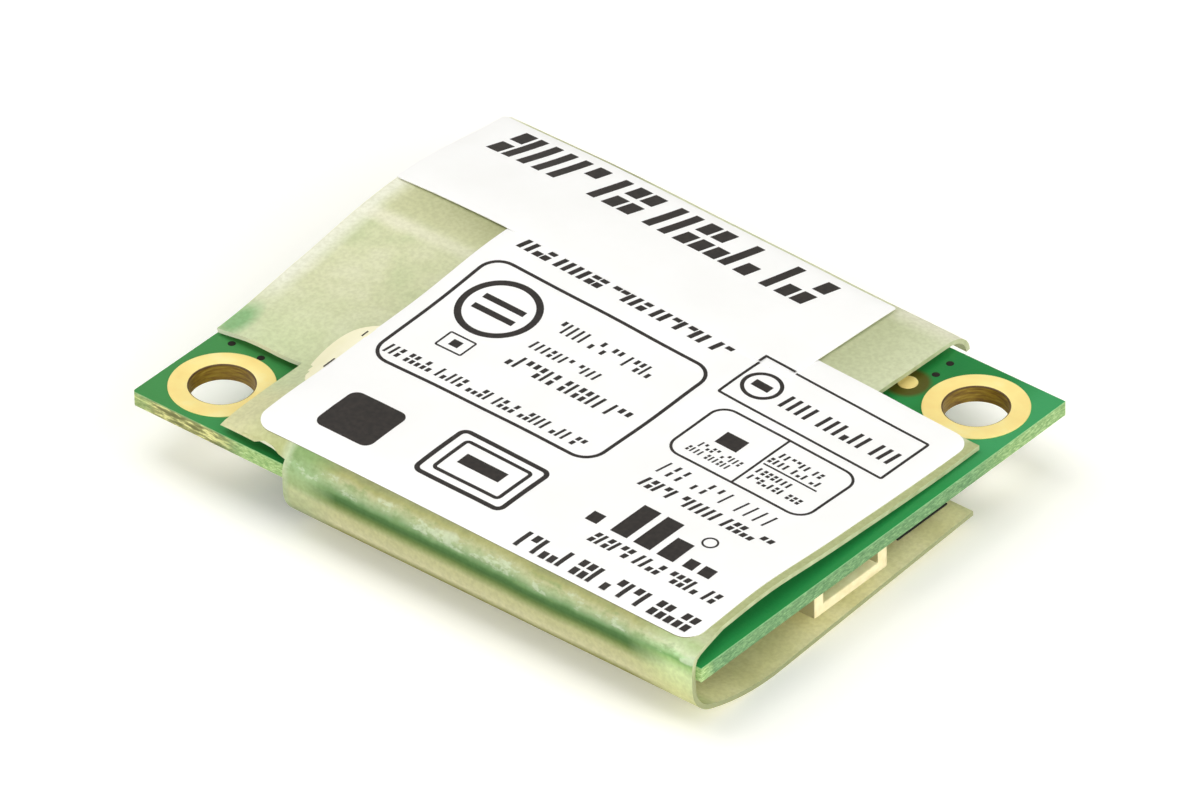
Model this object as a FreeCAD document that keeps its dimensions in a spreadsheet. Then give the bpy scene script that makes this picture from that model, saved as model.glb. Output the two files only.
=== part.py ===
# Laptop modem module: a small daughter card with its parts on the underside and a folded
# insulating film over its top.
# The frame: X along the long side, Y towards the back, Z up out of the labelled side.
# The origin is the middle of the card on its underside, midway between the two screw holes.
import FreeCAD
import Part
import Sketcher
import math
import os
import re

from FreeCAD import Placement, Rotation, Vector

# Driving sizes in millimetres: alias, value, what it is.
SIZES = [
    # Card
    ("board_length", 35.0, "card along X"),
    ("board_width", 27.0, "card along Y"),
    ("board_thick", 0.8, "laminate thickness"),
    ("board_corner", 0.15, "radius of the two left corners"),
    ("hole_inset", 3.0, "screw hole centre from both edges"),
    ("hole_diam", 3.2, "finished screw hole"),
    ("barrel_wall", 0.05, "plating on the hole wall"),
    ("ring_diam", 5.2, "gold ring round each screw hole"),
    ("pad_thick", 0.05, "copper and gold above the laminate"),
    ("fiducial_diam", 1.0, "alignment dot"),
    ("fiducial_from_right", 6.8, "top dot from the right edge"),
    ("fiducial_from_back", 3.5, "top dot and left underside dot from the back edge"),
    ("under_dot_deep", 0.759, "right underside dot, as a share of the card's width"),
    # Film
    ("film_thick", 0.25, "polyester film"),
    ("film_gap", 0.05, "film off the card where it touches"),
    ("seam_lean", 52.0, "film's slope at the top sheet's front seam, in degrees"),
    ("corner_radius", 0.8, "film's bend at the card's front edge"),
    ("corner_drop", 0.2, "start of that bend below the card's top"),
    ("fold_start", 0.4, "start of the fold below the card"),
    ("fold_turn", 70.0, "turn of the fold's tight bend in degrees"),
    ("fold_reach", 5.6, "lowest line of the fold behind the card's front edge"),
    ("film_left", 0.1, "film's left edge from the card's left edge"),
    ("film_right", 0.65, "top sheet's right edge from the card's right edge"),
    ("fold_left", 9.65, "fold's left end from the card's left edge"),
    ("fold_right", 0.3, "fold's right end from the card's right edge"),
    ("fold_run", 2.4, "how far back the fold's right end narrows to the top sheet"),
    ("notch_length", 5.5, "cut-out round the left screw ear along X"),
    ("notch_width", 6.0, "cut-out round the left screw ear along Y"),
    ("notch_flare", 0.25, "more length at the back of that cut-out"),
    ("lip_inset", 0.15, "film's front edge beside the fold from the card's front edge"),
    ("tab_right", 6.6, "back tab's right edge from the card's right edge"),
    ("ear_width", 5.7, "cut-out round the right screw ear from the back edge"),
    ("under_depth", 2.8, "lowest inner face of the bottom sheet below the card"),
    ("under_reach", 20.4, "bottom sheet's end from the card's front edge"),
    ("under_rise", 0.8, "rise of the bottom sheet's end above its lowest line"),
    ("back_hang", 1.0, "top sheet past the card's back edge"),
    ("back_drop", 1.0, "depth of the turned-down back edge"),
    ("hem_reach", 0.7, "where that edge has begun to turn, as a share of its overhang"),
    ("hem_fall", 0.15, "its fall there, as a share of its depth"),
    ("crown_reach", 0.4, "film's point between lip and brow, as a share of the way back"),
    ("crown_rise", 0.65, "and as a share of the rise"),
    ("lip_depth", 0.5, "film's lip from the card's front edge"),
    ("brow_depth", 2.4, "film's brow from the card's front edge"),
    ("front_share", 0.2222, "film's next line back, as a share of the card's width"),
    ("middle_share", 0.4444, "and the next"),
    ("rear_share", 0.7037, "and the next"),
    ("hem_inset", 0.4, "film's last line over the card from the card's back edge"),
    # Labels
    ("label_thick", 0.1, "paper label with its glue"),
    ("label_left", 7.12, "main label from the card's left edge"),
    ("label_front", 0.5, "main label from the card's front edge"),
    ("label_right", 1.03, "main label from the card's right edge"),
    ("label_back", 5.7, "main label from the card's back edge"),
    ("label_corner", 1.0, "corner radius of the main label"),
    ("strip_left", 0.12, "strip label from the card's left edge"),
    ("strip_past", 0.2, "strip label past the card's back edge"),
    ("strip_right", 10.4, "strip label from the card's right edge"),
    ("strip_width", 8.1, "strip label along Y"),
    ("strip_corner", 0.2, "corner radius of the strip label"),
    ("sticker_diam", 7.0, "round sticker"),
    ("sticker_left", 9.3, "sticker centre from the card's left edge"),
    ("sticker_front", 7.1, "sticker centre from the card's front edge"),
    ("sticker_thick", 0.05, "round sticker's foil"),
    # Line header, for the telephone lead
    ("header_recess", 0.4, "mouth behind the card's right edge"),
    ("header_deep", 0.423, "header's middle, as a share of the card's width"),
    ("header_length", 3.9, "header along X"),
    ("header_width", 5.4, "header along Y"),
    ("header_height", 1.65, "header below the card"),
    ("header_cheek", 0.7, "side walls"),
    ("header_floor", 0.55, "wall away from the card"),
    ("header_back", 0.8, "wall behind the cavity"),
    ("window_length", 0.9, "latch window along X"),
    ("window_width", 1.6, "latch window along Y"),
    ("window_setback", 0.9, "latch window from the mouth"),
    ("header_pitch", 1.25, "between the two pins"),
    ("pin_size", 0.25, "square pin"),
    ("pin_drop", 0.6, "pin axis below the card"),
    ("pin_setback", 0.9, "pin tip behind the mouth"),
    ("pin_gap", 0.15, "pin bend behind the housing"),
    ("pin_foot", 0.55, "soldered end of a pin"),
    ("tab_thick", 0.2, "solder tab's sheet"),
    ("tab_leg", 1.1, "solder tab against the housing"),
    ("tab_foot", 0.4, "solder tab on the card"),
    ("tab_length", 1.5, "solder tab along X"),
    ("tab_setback", 0.6, "solder tab from the mouth"),
    # Board-to-board connector, to the laptop's main board
    ("socket_along", 0.14, "socket's middle, as a share of the card's length"),
    ("socket_deep", 0.541, "socket's middle, as a share of the card's width"),
    ("socket_length", 5.4, "socket along X"),
    ("socket_width", 9.4, "socket along Y"),
    ("socket_height", 3.0, "socket below the card"),
    ("socket_wall", 0.8, "socket's outer wall"),
    ("socket_floor", 0.7, "socket's floor"),
    ("tongue_length", 0.9, "tongue across X"),
    ("tongue_setback", 0.5, "tongue's tip inside the mouth"),
    ("socket_pitch", 1.0, "between contacts"),
    ("socket_pairs", 6, "contacts on each side"),
    ("contact_thick", 0.15, "contact strip"),
    ("contact_width", 0.4, "contact strip along Y"),
    ("contact_foot", 0.8, "contact's soldered end past the socket"),
    ("contact_reach", 2.1, "contact blade below the card"),
    # Modem chip
    ("modem_along", 0.417, "modem chip's middle, as a share of the card's length"),
    ("modem_deep", 0.652, "modem chip's middle, as a share of the card's width"),
    ("modem_size", 7.0, "square package"),
    ("modem_height", 1.2, "package top below the card"),
    ("modem_leads", 12, "leads on each side"),
    ("modem_pitch", 0.5, "between leads"),
    # Line-side chip
    ("line_along", 0.714, "line chip's middle, as a share of the card's length"),
    ("line_deep", 0.33, "line chip's middle, as a share of the card's width"),
    ("line_length", 3.9, "package along X"),
    ("line_width", 9.9, "package along Y"),
    ("line_height", 1.6, "package top below the card"),
    ("line_leads", 8, "leads on each side"),
    ("line_pitch", 1.27, "between leads"),
    # Shared by the leaded packages
    ("package_gap", 0.1, "package off the card"),
    ("package_draft", 7.0, "mould draft in degrees"),
    ("lead_thick", 0.15, "lead strip"),
    ("lead_slope", 0.1, "lead's riser leans by this"),
    ("lead_out", 1.0, "leads past a chip's side"),
    ("lead_foot", 0.55, "soldered end of a lead"),
    ("dimple_diam", 0.7, "pin one mark"),
    ("dimple_depth", 0.1, "pin one mark"),
    ("dimple_inset", 0.9, "pin one mark from both sides"),
    # Bridge rectifier
    ("bridge_along", 0.716, "rectifier's middle, as a share of the card's length"),
    ("bridge_deep", 0.684, "rectifier's middle, as a share of the card's width"),
    ("bridge_length", 4.7, "package along X"),
    ("bridge_width", 3.9, "package along Y"),
    ("bridge_height", 1.5, "package top below the card"),
    ("bridge_pitch", 2.54, "between leads"),
    # Surge suppressor
    ("surge_along", 0.9014, "suppressor's middle, as a share of the card's length"),
    ("surge_deep", 0.661, "suppressor's middle, as a share of the card's width"),
    ("surge_length", 4.3, "package along X"),
    ("surge_width", 3.9, "package along Y"),
    ("surge_height", 1.6, "package top below the card"),
    ("surge_lead", 2.0, "lead along Y"),
    # Line transistor and the two hook switch transistors
    ("power_along", 0.894, "line transistor's middle, as a share of the card's length"),
    ("power_deep", 0.107, "line transistor's middle, as a share of the card's width"),
    ("power_length", 4.5, "package along X"),
    ("power_width", 2.5, "package along Y"),
    ("power_height", 1.5, "package top below the card"),
    ("power_pitch", 1.5, "between the three leads"),
    ("power_tab", 1.8, "cooling tab along X"),
    ("switch_along", 0.446, "first hook switch's middle, as a share of the card's length"),
    ("switch_deep", 0.148, "first hook switch's middle, as a share of the card's width"),
    ("switch_spacing", 3.2, "between the hook switches"),
    ("switch_length", 2.9, "package along X"),
    ("switch_width", 1.3, "package along Y"),
    ("switch_height", 1.0, "package top below the card"),
    ("switch_pitch", 1.9, "between the two leads of one side"),
    ("short_lead_out", 0.5, "leads past a small package's side"),
    ("short_foot", 0.3, "soldered end of a short lead"),
    ("wide_lead", 0.7, "lead of a power package"),
    ("fine_lead", 0.22, "lead of the modem chip"),
    ("chip_lead", 0.4, "lead of the other packages"),
    # Two-ended parts
    ("isolation_along", 0.52, "first isolation capacitor's middle, as a share of the card's length"),
    ("isolation_deep", 0.267, "first isolation capacitor's middle, as a share of the card's width"),
    ("isolation_spacing", 3.0, "between isolation capacitors"),
    ("isolation_length", 4.5, "isolation capacitor"),
    ("isolation_width", 2.0, "isolation capacitor"),
    ("isolation_height", 1.5, "isolation capacitor"),
    ("tantalum_along", 0.329, "first tantalum capacitor's middle, as a share of the card's length"),
    ("tantalum_deep", 0.167, "first tantalum capacitor's middle, as a share of the card's width"),
    ("tantalum_spacing", 3.6, "between tantalum capacitors"),
    ("tantalum_length", 3.5, "tantalum capacitor"),
    ("tantalum_width", 2.8, "tantalum capacitor"),
    ("tantalum_height", 1.7, "tantalum capacitor"),
    ("fuse_along", 0.677, "fuse's middle, as a share of the card's length"),
    ("fuse_deep", 0.874, "fuse's middle, as a share of the card's width"),
    ("fuse_length", 6.1, "fuse"),
    ("fuse_width", 2.5, "fuse"),
    ("fuse_height", 2.1, "fuse"),
    ("bead_along", 0.614, "first ferrite bead's middle, as a share of the card's length"),
    ("bead_deep", 0.059, "first ferrite bead's middle, as a share of the card's width"),
    ("bead_spacing", 3.8, "between ferrite beads"),
    ("bead_length", 3.2, "ferrite bead"),
    ("bead_width", 1.6, "ferrite bead"),
    ("bead_height", 1.1, "ferrite bead"),
    ("small_length", 1.6, "small capacitors and resistors"),
    ("small_width", 0.8, "small capacitors and resistors"),
    ("capacitor_height", 0.8, "small capacitors"),
    ("resistor_height", 0.45, "small resistors"),
    ("capacitor_along", 0.603, "first small capacitor's middle, as a share of the card's length"),
    ("capacitor_deep", 0.523, "first small capacitor's middle, as a share of the card's width"),
    ("capacitor_spacing", 1.2, "between small capacitors"),
    ("capacitor_count", 6, "small capacitors"),
    ("resistor_clear", 1.0, "first small resistor's middle from the left gold ring"),
    ("resistor_deep", 0.059, "small resistors' middle, as a share of the card's width"),
    ("resistor_spacing", 1.3, "between small resistors"),
    ("resistor_count", 8, "small resistors"),
    ("end_share", 0.22, "metal end of a two-ended part, as a share of its length"),
    # Crystal
    ("crystal_along", 0.417, "crystal's middle, as a share of the card's length"),
    ("crystal_deep", 0.926, "crystal's middle, as a share of the card's width"),
    ("crystal_length", 5.0, "ceramic base along X"),
    ("crystal_width", 3.2, "ceramic base along Y"),
    ("crystal_base", 0.6, "ceramic base"),
    ("crystal_lid", 0.35, "metal lid"),
    ("crystal_rim", 0.25, "base shown round the lid"),
    ("crystal_corner", 0.4, "corner radius of the lid"),
]

# How high the top sheet's inner face stands off the card, front to back, at four places
# from left to right: the left edge, the label's left edge, the strip label's end and the
# right edge. Each is a size of its own.
RISE_PLACES = [
    ("left", "film_left", [0.30, 0.15, 0.05, 0.85, 1.70, 0.95]),
    ("label", "label_left", [0.80, 1.05, 1.10, 1.30, 1.75, 0.95]),
    ("strip", "board_length - strip_right", [0.62, 0.85, 0.92, 0.78, 0.72, 0.34]),
    ("right", "board_length - fold_right", [0.40, 0.55, 0.68, 0.32, 0.06, 0.18]),
]
RISE_DEPTHS = [
    ("lip", "lip_depth"), ("brow", "brow_depth"), ("front", "front_share * board_width"),
    ("middle", "middle_share * board_width"), ("rear", "rear_share * board_width"),
    ("back", "board_width - hem_inset")]

for place, _, rises in RISE_PLACES:
    for (depth, _), rise in zip(RISE_DEPTHS, rises):
        SIZES.append((f"rise_{place}_{depth}", rise, "top sheet's inner face above the card"))

ALIASES = {alias for alias, _, _ in SIZES}
LEFT = "-board_length / 2"
RIGHT = "board_length / 2"
FRONT = "-board_width / 2"

# Height of the blanks that cut the film and its labels to their plans
BLANK_HEIGHT = "4 * under_depth"

# Turns in degrees, and a length too small to matter
FULL_TURN, QUARTER_TURN = 360, 90
TINY = 1e-6

# Straight runs in the film's two tight bends over the card
BROW_RUNS, HEM_RUNS = 4, 4

# Directions in the YZ plane, in degrees from the one that points back
UP, FORWARD, DOWN = 90, 180, 270

doc = FreeCAD.newDocument("LaptopModemModule")
sheet = doc.addObject("Spreadsheet::Sheet", "Sizes")
for row, (alias, number, note) in enumerate(SIZES, start=1):
    sheet.set(f"A{row}", alias)
    sheet.set(f"B{row}", str(number))
    sheet.setAlias(f"B{row}", alias)
    sheet.set(f"C{row}", note)
doc.recompute()

NODES = []


def value(text):
    """The number that an expression of sizes has now."""
    return float(sheet.evalExpression(text))


def bound(text):
    """The same expression with each size read from the sheet."""
    def name(word):
        return "Sizes." + word.group() if word.group() in ALIASES else word.group()
    return re.sub(r"[a-z_]+", name, text)


def bind(item, prop, text):
    if text != "0":
        item.setExpression(prop, bound(text))


def node(item, label):
    """Keep an object as one sub-part of the module."""
    item.Label = label
    NODES.append(item)
    return item


def on_card(name):
    """Where a piece stands, from its shares of the card's length and width."""
    return f"{LEFT} + {name}_along * board_length", f"{FRONT} + {name}_deep * board_width"


def place(item, x, y, z="0"):
    for axis, text in zip("xyz", (x, y, z)):
        bind(item, "Placement.Base." + axis, text)


def origin_part(body, role):
    return next(part for part in body.Origin.OriginFeatures if part.Role == role)


def new_body(name, x="0", y="0", z="0"):
    body = doc.addObject("PartDesign::Body", name)
    body.AllowCompound = True
    place(body, x, y, z)
    return body


def new_sketch(body, name, role, offset="0"):
    sketch = body.newObject("Sketcher::SketchObject", name)
    sketch.AttachmentSupport = [(origin_part(body, role), "")]
    sketch.MapMode = "FlatFace"
    bind(sketch, "AttachmentOffset.Base.z", offset)
    return sketch


def pin_point(sketch, line, which, x, y):
    """Hold one point of the sketch at its distances from the origin."""
    for kind, text, axis in (("DistanceX", x, -2), ("DistanceY", y, -1)):
        if text == "0":
            sketch.addConstraint(Sketcher.Constraint("PointOnObject", line, which, axis))
        else:
            index = sketch.addConstraint(
                Sketcher.Constraint(kind, -1, 1, line, which, value(text)))
            sketch.setExpression(f"Constraints[{index}]", bound(text))


def add_polygon(sketch, points):
    """Draw a closed outline through points given as pairs of expressions."""
    start = sketch.GeometryCount
    corners = [Vector(value(x), value(y), 0) for x, y in points]
    count = len(corners)
    for i in range(count):
        sketch.addGeometry(Part.LineSegment(corners[i], corners[(i + 1) % count]), False)
    for i in range(count):
        follower = start + (i + 1) % count
        sketch.addConstraint(Sketcher.Constraint("Coincident", start + i, 2, follower, 1))
    for i, (x, y) in enumerate(points):
        pin_point(sketch, start + i, 1, x, y)


def add_circle(sketch, x, y, diameter):
    centre = Vector(value(x), value(y), 0)
    index = sketch.addGeometry(Part.Circle(centre, Vector(0, 0, 1), value(diameter) / 2), False)
    pin_point(sketch, index, 3, x, y)
    size = sketch.addConstraint(Sketcher.Constraint("Diameter", index, value(diameter)))
    sketch.setExpression(f"Constraints[{size}]", bound(diameter))


def rectangle(x0, y0, x1, y1):
    return [(x0, y0), (x1, y0), (x1, y1), (x0, y1)]


def centred(length, width):
    return rectangle(f"-({length}) / 2", f"-({width}) / 2", f"({length}) / 2", f"({width}) / 2")


def pad(body, sketch, name, length, side="One side", back=False):
    feature = body.newObject("PartDesign::Pad", name)
    feature.Profile = sketch
    feature.SideType = side
    feature.Reversed = back
    bind(feature, "Length", length)
    return feature


def pocket(body, sketch, name, length, back=False, side="One side"):
    """Cut, and make sure that the cut removes something."""
    doc.recompute()
    before = body.Shape.Volume
    feature = body.newObject("PartDesign::Pocket", name)
    feature.Profile = sketch
    feature.SideType = side
    feature.Reversed = back
    bind(feature, "Length", length)
    doc.recompute()
    if body.Shape.Volume >= before:
        raise RuntimeError(f"{name} removes nothing")
    return feature


def linear(body, name, role, length, count):
    feature = doc.addObject("PartDesign::LinearPattern", name)
    feature.Direction = (origin_part(body, role), [""])
    bind(feature, "Length", length)
    bind(feature, "Occurrences", count)
    return feature


def polar(body, name, count):
    feature = doc.addObject("PartDesign::PolarPattern", name)
    feature.Axis = (origin_part(body, "Z_Axis"), [""])
    feature.Angle = FULL_TURN
    feature.Occurrences = count
    return feature


def mirrored(body, name, role):
    feature = doc.addObject("PartDesign::Mirrored", name)
    feature.MirrorPlane = (origin_part(body, role), [""])
    return feature


def repeat(body, name, originals, steps):
    """Repeat features by one or more patterns, one after the other."""
    feature = body.newObject("PartDesign::MultiTransform", name)
    feature.Originals = originals
    feature.Transformations = steps
    body.Tip = feature
    return feature


def round_upright_edges(body, radius, keep=lambda x, y: True):
    """Round the edges that stand along Z, where keep says so of their place."""
    doc.recompute()
    tip = body.Tip
    names = []
    for index, edge in enumerate(tip.Shape.Edges, start=1):
        box = edge.BoundBox
        upright = box.XLength < TINY and box.YLength < TINY
        if upright and keep(box.Center.x, box.Center.y):
            names.append(f"Edge{index}")
    feature = body.newObject("PartDesign::Fillet", body.Name + "Corners")
    feature.Base = (tip, names)
    bind(feature, "Radius", radius)
    return feature


# Card


def make_board():
    body = new_body("CircuitBoard")
    sketch = new_sketch(body, "BoardOutline", "XY_Plane")
    add_polygon(sketch, centred("board_length", "board_width"))
    pad(body, sketch, "BoardPad", "board_thick")
    round_upright_edges(body, "board_corner", keep=lambda x, y: x < 0)
    holes = new_sketch(body, "BoardHoles", "XY_Plane")
    for sign in ("-", ""):
        add_circle(holes, f"{sign}(board_length / 2 - hole_inset)",
                   f"{sign}(board_width / 2 - hole_inset)", "hole_diam + 2 * barrel_wall")
    pocket(body, holes, "BoardHolePocket", "board_thick", back=True)
    node(body, "circuit_board")


def make_hole_plating(name, label, sign):
    """A flanged barrel: a gold ring on each face, joined by the plated wall."""
    body = new_body(name, f"{sign}(board_length / 2 - hole_inset)",
                    f"{sign}(board_width / 2 - hole_inset)")
    inner = "hole_diam / 2"
    wall = "hole_diam / 2 + barrel_wall"
    rim = "ring_diam / 2"
    sketch = new_sketch(body, name + "Section", "XZ_Plane")
    add_polygon(sketch, [
        (inner, "-pad_thick"), (rim, "-pad_thick"), (rim, "0"), (wall, "0"),
        (wall, "board_thick"), (rim, "board_thick"), (rim, "board_thick + pad_thick"),
        (inner, "board_thick + pad_thick")])
    turn = body.newObject("PartDesign::Revolution", name + "Turn")
    turn.Profile = sketch
    turn.ReferenceAxis = (sketch, ["V_Axis"])
    turn.Angle = FULL_TURN
    node(body, label)


def make_fiducials():
    """One bare dot on the labelled side and two underneath."""
    body = new_body("Fiducials")
    x = "board_length / 2 - fiducial_from_right"
    y = "board_width / 2 - fiducial_from_back"
    top = new_sketch(body, "TopDot", "XY_Plane", "board_thick")
    add_circle(top, x, y, "fiducial_diam")
    pad(body, top, "TopDotPad", "pad_thick")
    under = new_sketch(body, "UnderDots", "XY_Plane", "-pad_thick")
    add_circle(under, "board_length / 2 - fiducial_diam",
               "(under_dot_deep - 0.5) * board_width", "fiducial_diam")
    add_circle(under, "fiducial_diam - board_length / 2", y, "fiducial_diam")
    pad(body, under, "UnderDotsPad", "pad_thick")
    node(body, "fiducial_dots")


# Folded film and the labels on it


def seam_point():
    """Where the film's front roll hands over to its top sheet, in the YZ plane."""
    lean = math.radians(value("seam_lean"))
    radius = value("corner_radius")
    return (radius * (1 - math.sin(lean)) - value("film_gap"),
            value("board_thick") - value("corner_drop") + radius * math.cos(lean))


def film_spans(place, station):
    """Inner line of the film's top sheet at one place along X, from the front seam back over
    the card and down behind. Each span is its points in the YZ plane, its directions at both
    ends, and how many straight runs stand for it, or none for a smooth curve."""
    x = value(LEFT) + value(station)
    front = value(FRONT)
    thick = value("board_thick")
    drop = value("back_drop")
    edge = value("board_width + back_hang")
    lean = math.radians(value("seam_lean"))

    top = [(value(depth), thick + value(f"rise_{place}_{name}"))
           for name, depth in RISE_DEPTHS]
    lip, brow, rear, last = top[0], top[1], top[-2], top[-1]
    over = (value("board_width + hem_reach * back_hang"), last[1] - value("hem_fall") * drop)
    tail = (edge, last[1] - drop)

    leaning = (math.cos(lean), math.sin(lean))
    brow_way = (top[2][0] - lip[0], top[2][1] - lip[1])
    last_way = (last[0] - rear[0], last[1] - rear[1])
    crown = (lip[0] + value("crown_reach") * (brow[0] - lip[0]),
             lip[1] + value("crown_rise") * (brow[1] - lip[1]))
    spans = [
        ([seam_point(), lip, crown, brow], leaning, brow_way, BROW_RUNS),
        (top[1:], brow_way, last_way, None),
        ([last, over, tail], last_way, (0.0, -1.0), HEM_RUNS)]
    return [([Vector(x, front + y, z) for y, z in points],
             Vector(0, *start).normalize(), Vector(0, *finish).normalize(), runs)
            for points, start, finish, runs in spans]


def shared_parameters(lines):
    """One set of spline parameters for all the places, from the mean spacing of the points."""
    count = len(lines[0])
    steps = [sum((line[i + 1] - line[i]).Length for line in lines) for i in range(count - 1)]
    return [sum(steps[:i]) / sum(steps) for i in range(count)]


def span_edges(span, parameters, offset):
    """The edges of one span, moved outwards by an offset."""
    points, start, finish, runs = span
    curve = Part.BSplineCurve()
    curve.interpolate(Points=points, Parameters=parameters, InitialTangent=start,
                      FinalTangent=finish)
    stops = [i / runs for i in range(runs + 1)] if runs else parameters
    ways = [curve.tangent(stop)[0] for stop in stops]
    moved = [curve.value(stop) + Vector(0, -way.z, way.y) * offset
             for stop, way in zip(stops, ways)]
    if runs:
        return [Part.LineSegment(one, two).toShape() for one, two in zip(moved, moved[1:])]
    curve = Part.BSplineCurve()
    curve.interpolate(Points=moved, Parameters=parameters, InitialTangent=start,
                      FinalTangent=finish)
    return [curve.toShape()]


def layer_section(name, spans, parameters, inner, outer):
    """Closed section of a layer between two offsets from the film's inner line."""
    low, high = [
        [edge for span, steps in zip(spans, parameters) for edge in span_edges(span, steps, offset)]
        for offset in (inner, outer)]
    ends = [Part.LineSegment(low[i].Vertexes[i].Point, high[i].Vertexes[i].Point).toShape()
            for i in (0, -1)]
    section = doc.addObject("Part::Feature", name)
    section.Shape = Part.Wire([ends[0]] + high + [ends[1]] + low[::-1])
    return section


def folded_layer(name, inner, outer):
    """The part of a layer over the card, between two offsets from the film's inner face."""
    places = [film_spans(place, station) for place, station, _ in RISE_PLACES]
    parameters = [shared_parameters([spans[i][0] for spans in places])
                  for i in range(len(places[0]))]
    loft = doc.addObject("Part::Loft", name + "Loft")
    loft.Sections = [
        layer_section(f"{name}Section{place.title()}", spans, parameters, inner, outer)
        for (place, _, _), spans in zip(RISE_PLACES, places)]
    loft.Solid = True
    loft.Ruled = True
    return loft


def fold_bends():
    """The two bends under the card's front edge: radius, turn in degrees, in order from the
    edge. They take the film from straight down to level at its lowest line."""
    turn = math.radians(value("fold_turn"))
    run = value("fold_reach") + value("film_gap")
    fall = value("under_depth") - value("fold_start")
    one, other = 1 - math.cos(turn), math.cos(turn)
    down, rest = math.sin(turn), 1 - math.sin(turn)
    scale = one * rest - other * down
    return [((run * rest - fall * other) / scale, value("fold_turn")),
            ((fall * one - run * down) / scale, DOWN - FORWARD - value("fold_turn"))]


def roll_side(offset):
    """Lines and arcs of the front roll, moved outwards by an offset, from the top sheet's
    seam forward, down past the card's front edge and back under it."""
    def arc(centre, radius, first, last):
        angles = [math.radians(first + (last - first) * part) for part in (0, 0.5, 1)]
        return Part.Arc(*[at(centre[0] + radius * math.cos(angle),
                             centre[1] + radius * math.sin(angle)) for angle in angles])

    def at(y, z):
        return Vector(value(LEFT) + value("fold_left"), value(FRONT) + y, z)

    wall = -value("film_gap")
    top = value("board_thick") - value("corner_drop")
    radius = value("corner_radius")
    (tight, turn), (wide, _) = fold_bends()
    start = -value("fold_start")
    reach, depth = value("fold_reach"), value("under_depth")
    end = (value("under_reach"), value("under_rise") - depth)
    return [
        arc((wall + radius, top), radius + offset, UP + value("seam_lean"), FORWARD),
        Part.LineSegment(at(wall - offset, top), at(wall - offset, start)),
        arc((wall + tight, start), tight + offset, FORWARD, FORWARD + turn),
        arc((reach, wide - depth), wide + offset, FORWARD + turn, DOWN),
        Part.LineSegment(at(reach, -depth - offset), at(end[0], end[1] - offset)),
    ]


def front_roll():
    """The film's front fold and bottom sheet, which have one section from end to end."""
    inner, outer = [[curve.toShape() for curve in roll_side(offset)]
                    for offset in (0, value("film_thick"))]
    ends = [Part.LineSegment(inner[i].Vertexes[i].Point, outer[i].Vertexes[i].Point).toShape()
            for i in (0, -1)]
    section = doc.addObject("Part::Feature", "RollSection")
    section.Shape = Part.Wire([ends[0]] + outer + [ends[1]] + inner[::-1])
    roll = doc.addObject("Part::Extrusion", "FrontRoll")
    roll.Base = section
    roll.DirMode = "Custom"
    roll.Dir = Vector(1, 0, 0)
    roll.Solid = True
    bind(roll, "LengthFwd", "board_length - fold_right - fold_left")
    return roll


def common(name, base, tool):
    feature = doc.addObject("Part::Common", name)
    feature.Base = base
    feature.Tool = tool
    return feature


def cut(name, base, tool):
    feature = doc.addObject("Part::Cut", name)
    feature.Base = base
    feature.Tool = tool
    return feature


def make_film():
    """One folded sheet: the plan of the top sheet cut out of its layer, joined to the roll."""
    layer = folded_layer("Film", 0, value("film_thick"))
    blank = new_body("FilmBlank", LEFT, FRONT)
    top = new_sketch(blank, "TopSheetPlan", "XY_Plane")
    outside = "-2 * film_thick - film_gap"
    behind = "board_width + back_hang + 2 * film_thick"
    add_polygon(top, [
        ("film_left", "notch_width"), ("notch_length + notch_flare", "notch_width"),
        ("notch_length", "lip_inset"), ("fold_left", "lip_inset"), ("fold_left", outside),
        ("board_length - fold_right", outside), ("board_length - fold_right", "lip_inset"),
        ("board_length - film_right", "fold_run"),
        ("board_length - film_right", "board_width - ear_width"),
        ("board_length - tab_right", "board_width - ear_width"),
        ("board_length - tab_right", behind), ("film_left", behind)])
    pad(blank, top, "TopSheetBlank", "board_thick + " + BLANK_HEIGHT)
    sheets = doc.addObject("Part::Fuse", "InsulatingFilm")
    sheets.Base = front_roll()
    sheets.Tool = common("TopSheet", layer, blank)
    node(sheets, "insulating_film")


def label_blank(name, left, front, length, width, corner):
    body = new_body(name, LEFT + " + " + left, FRONT + " + " + front, "board_thick")
    sketch = new_sketch(body, name + "Plan", "XY_Plane")
    add_polygon(sketch, rectangle("0", "0", length, width))
    pad(body, sketch, name + "Pad", BLANK_HEIGHT)
    round_upright_edges(body, corner)
    return body


def make_labels():
    film = value("film_thick")
    sticker_top = film + value("sticker_thick")
    label_top = film + value("label_thick")
    strip_top = film + 2 * value("label_thick")

    disc = doc.addObject("Part::Cylinder", "StickerBlank")
    bind(disc, "Radius", "sticker_diam / 2")
    bind(disc, "Height", BLANK_HEIGHT)
    place(disc, LEFT + " + sticker_left", FRONT + " + sticker_front", "board_thick")
    sticker = common("RoundSticker", folded_layer("Sticker", film, sticker_top), disc)
    node(sticker, "round_sticker")

    blank = label_blank("LabelBlank", "label_left", "label_front",
                        "board_length - label_left - label_right",
                        "board_width - label_front - label_back", "label_corner")
    layer = folded_layer("Label", film, label_top)
    label = cut("MainLabel", common("LabelSheet", layer, blank), sticker)
    node(label, "main_label")

    blank = label_blank("StripBlank", "strip_left", "board_width + strip_past - strip_width",
                        "board_length - strip_left - strip_right", "strip_width",
                        "strip_corner")
    layer = folded_layer("Strip", film, strip_top)
    node(cut("StripLabel", common("StripSheet", layer, blank), label), "strip_label")


# Line header: its local origin is the middle of its mouth, on the card's underside


HEADER_PLACE = (RIGHT + " - header_recess", FRONT + " + header_deep * board_width")


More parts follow.
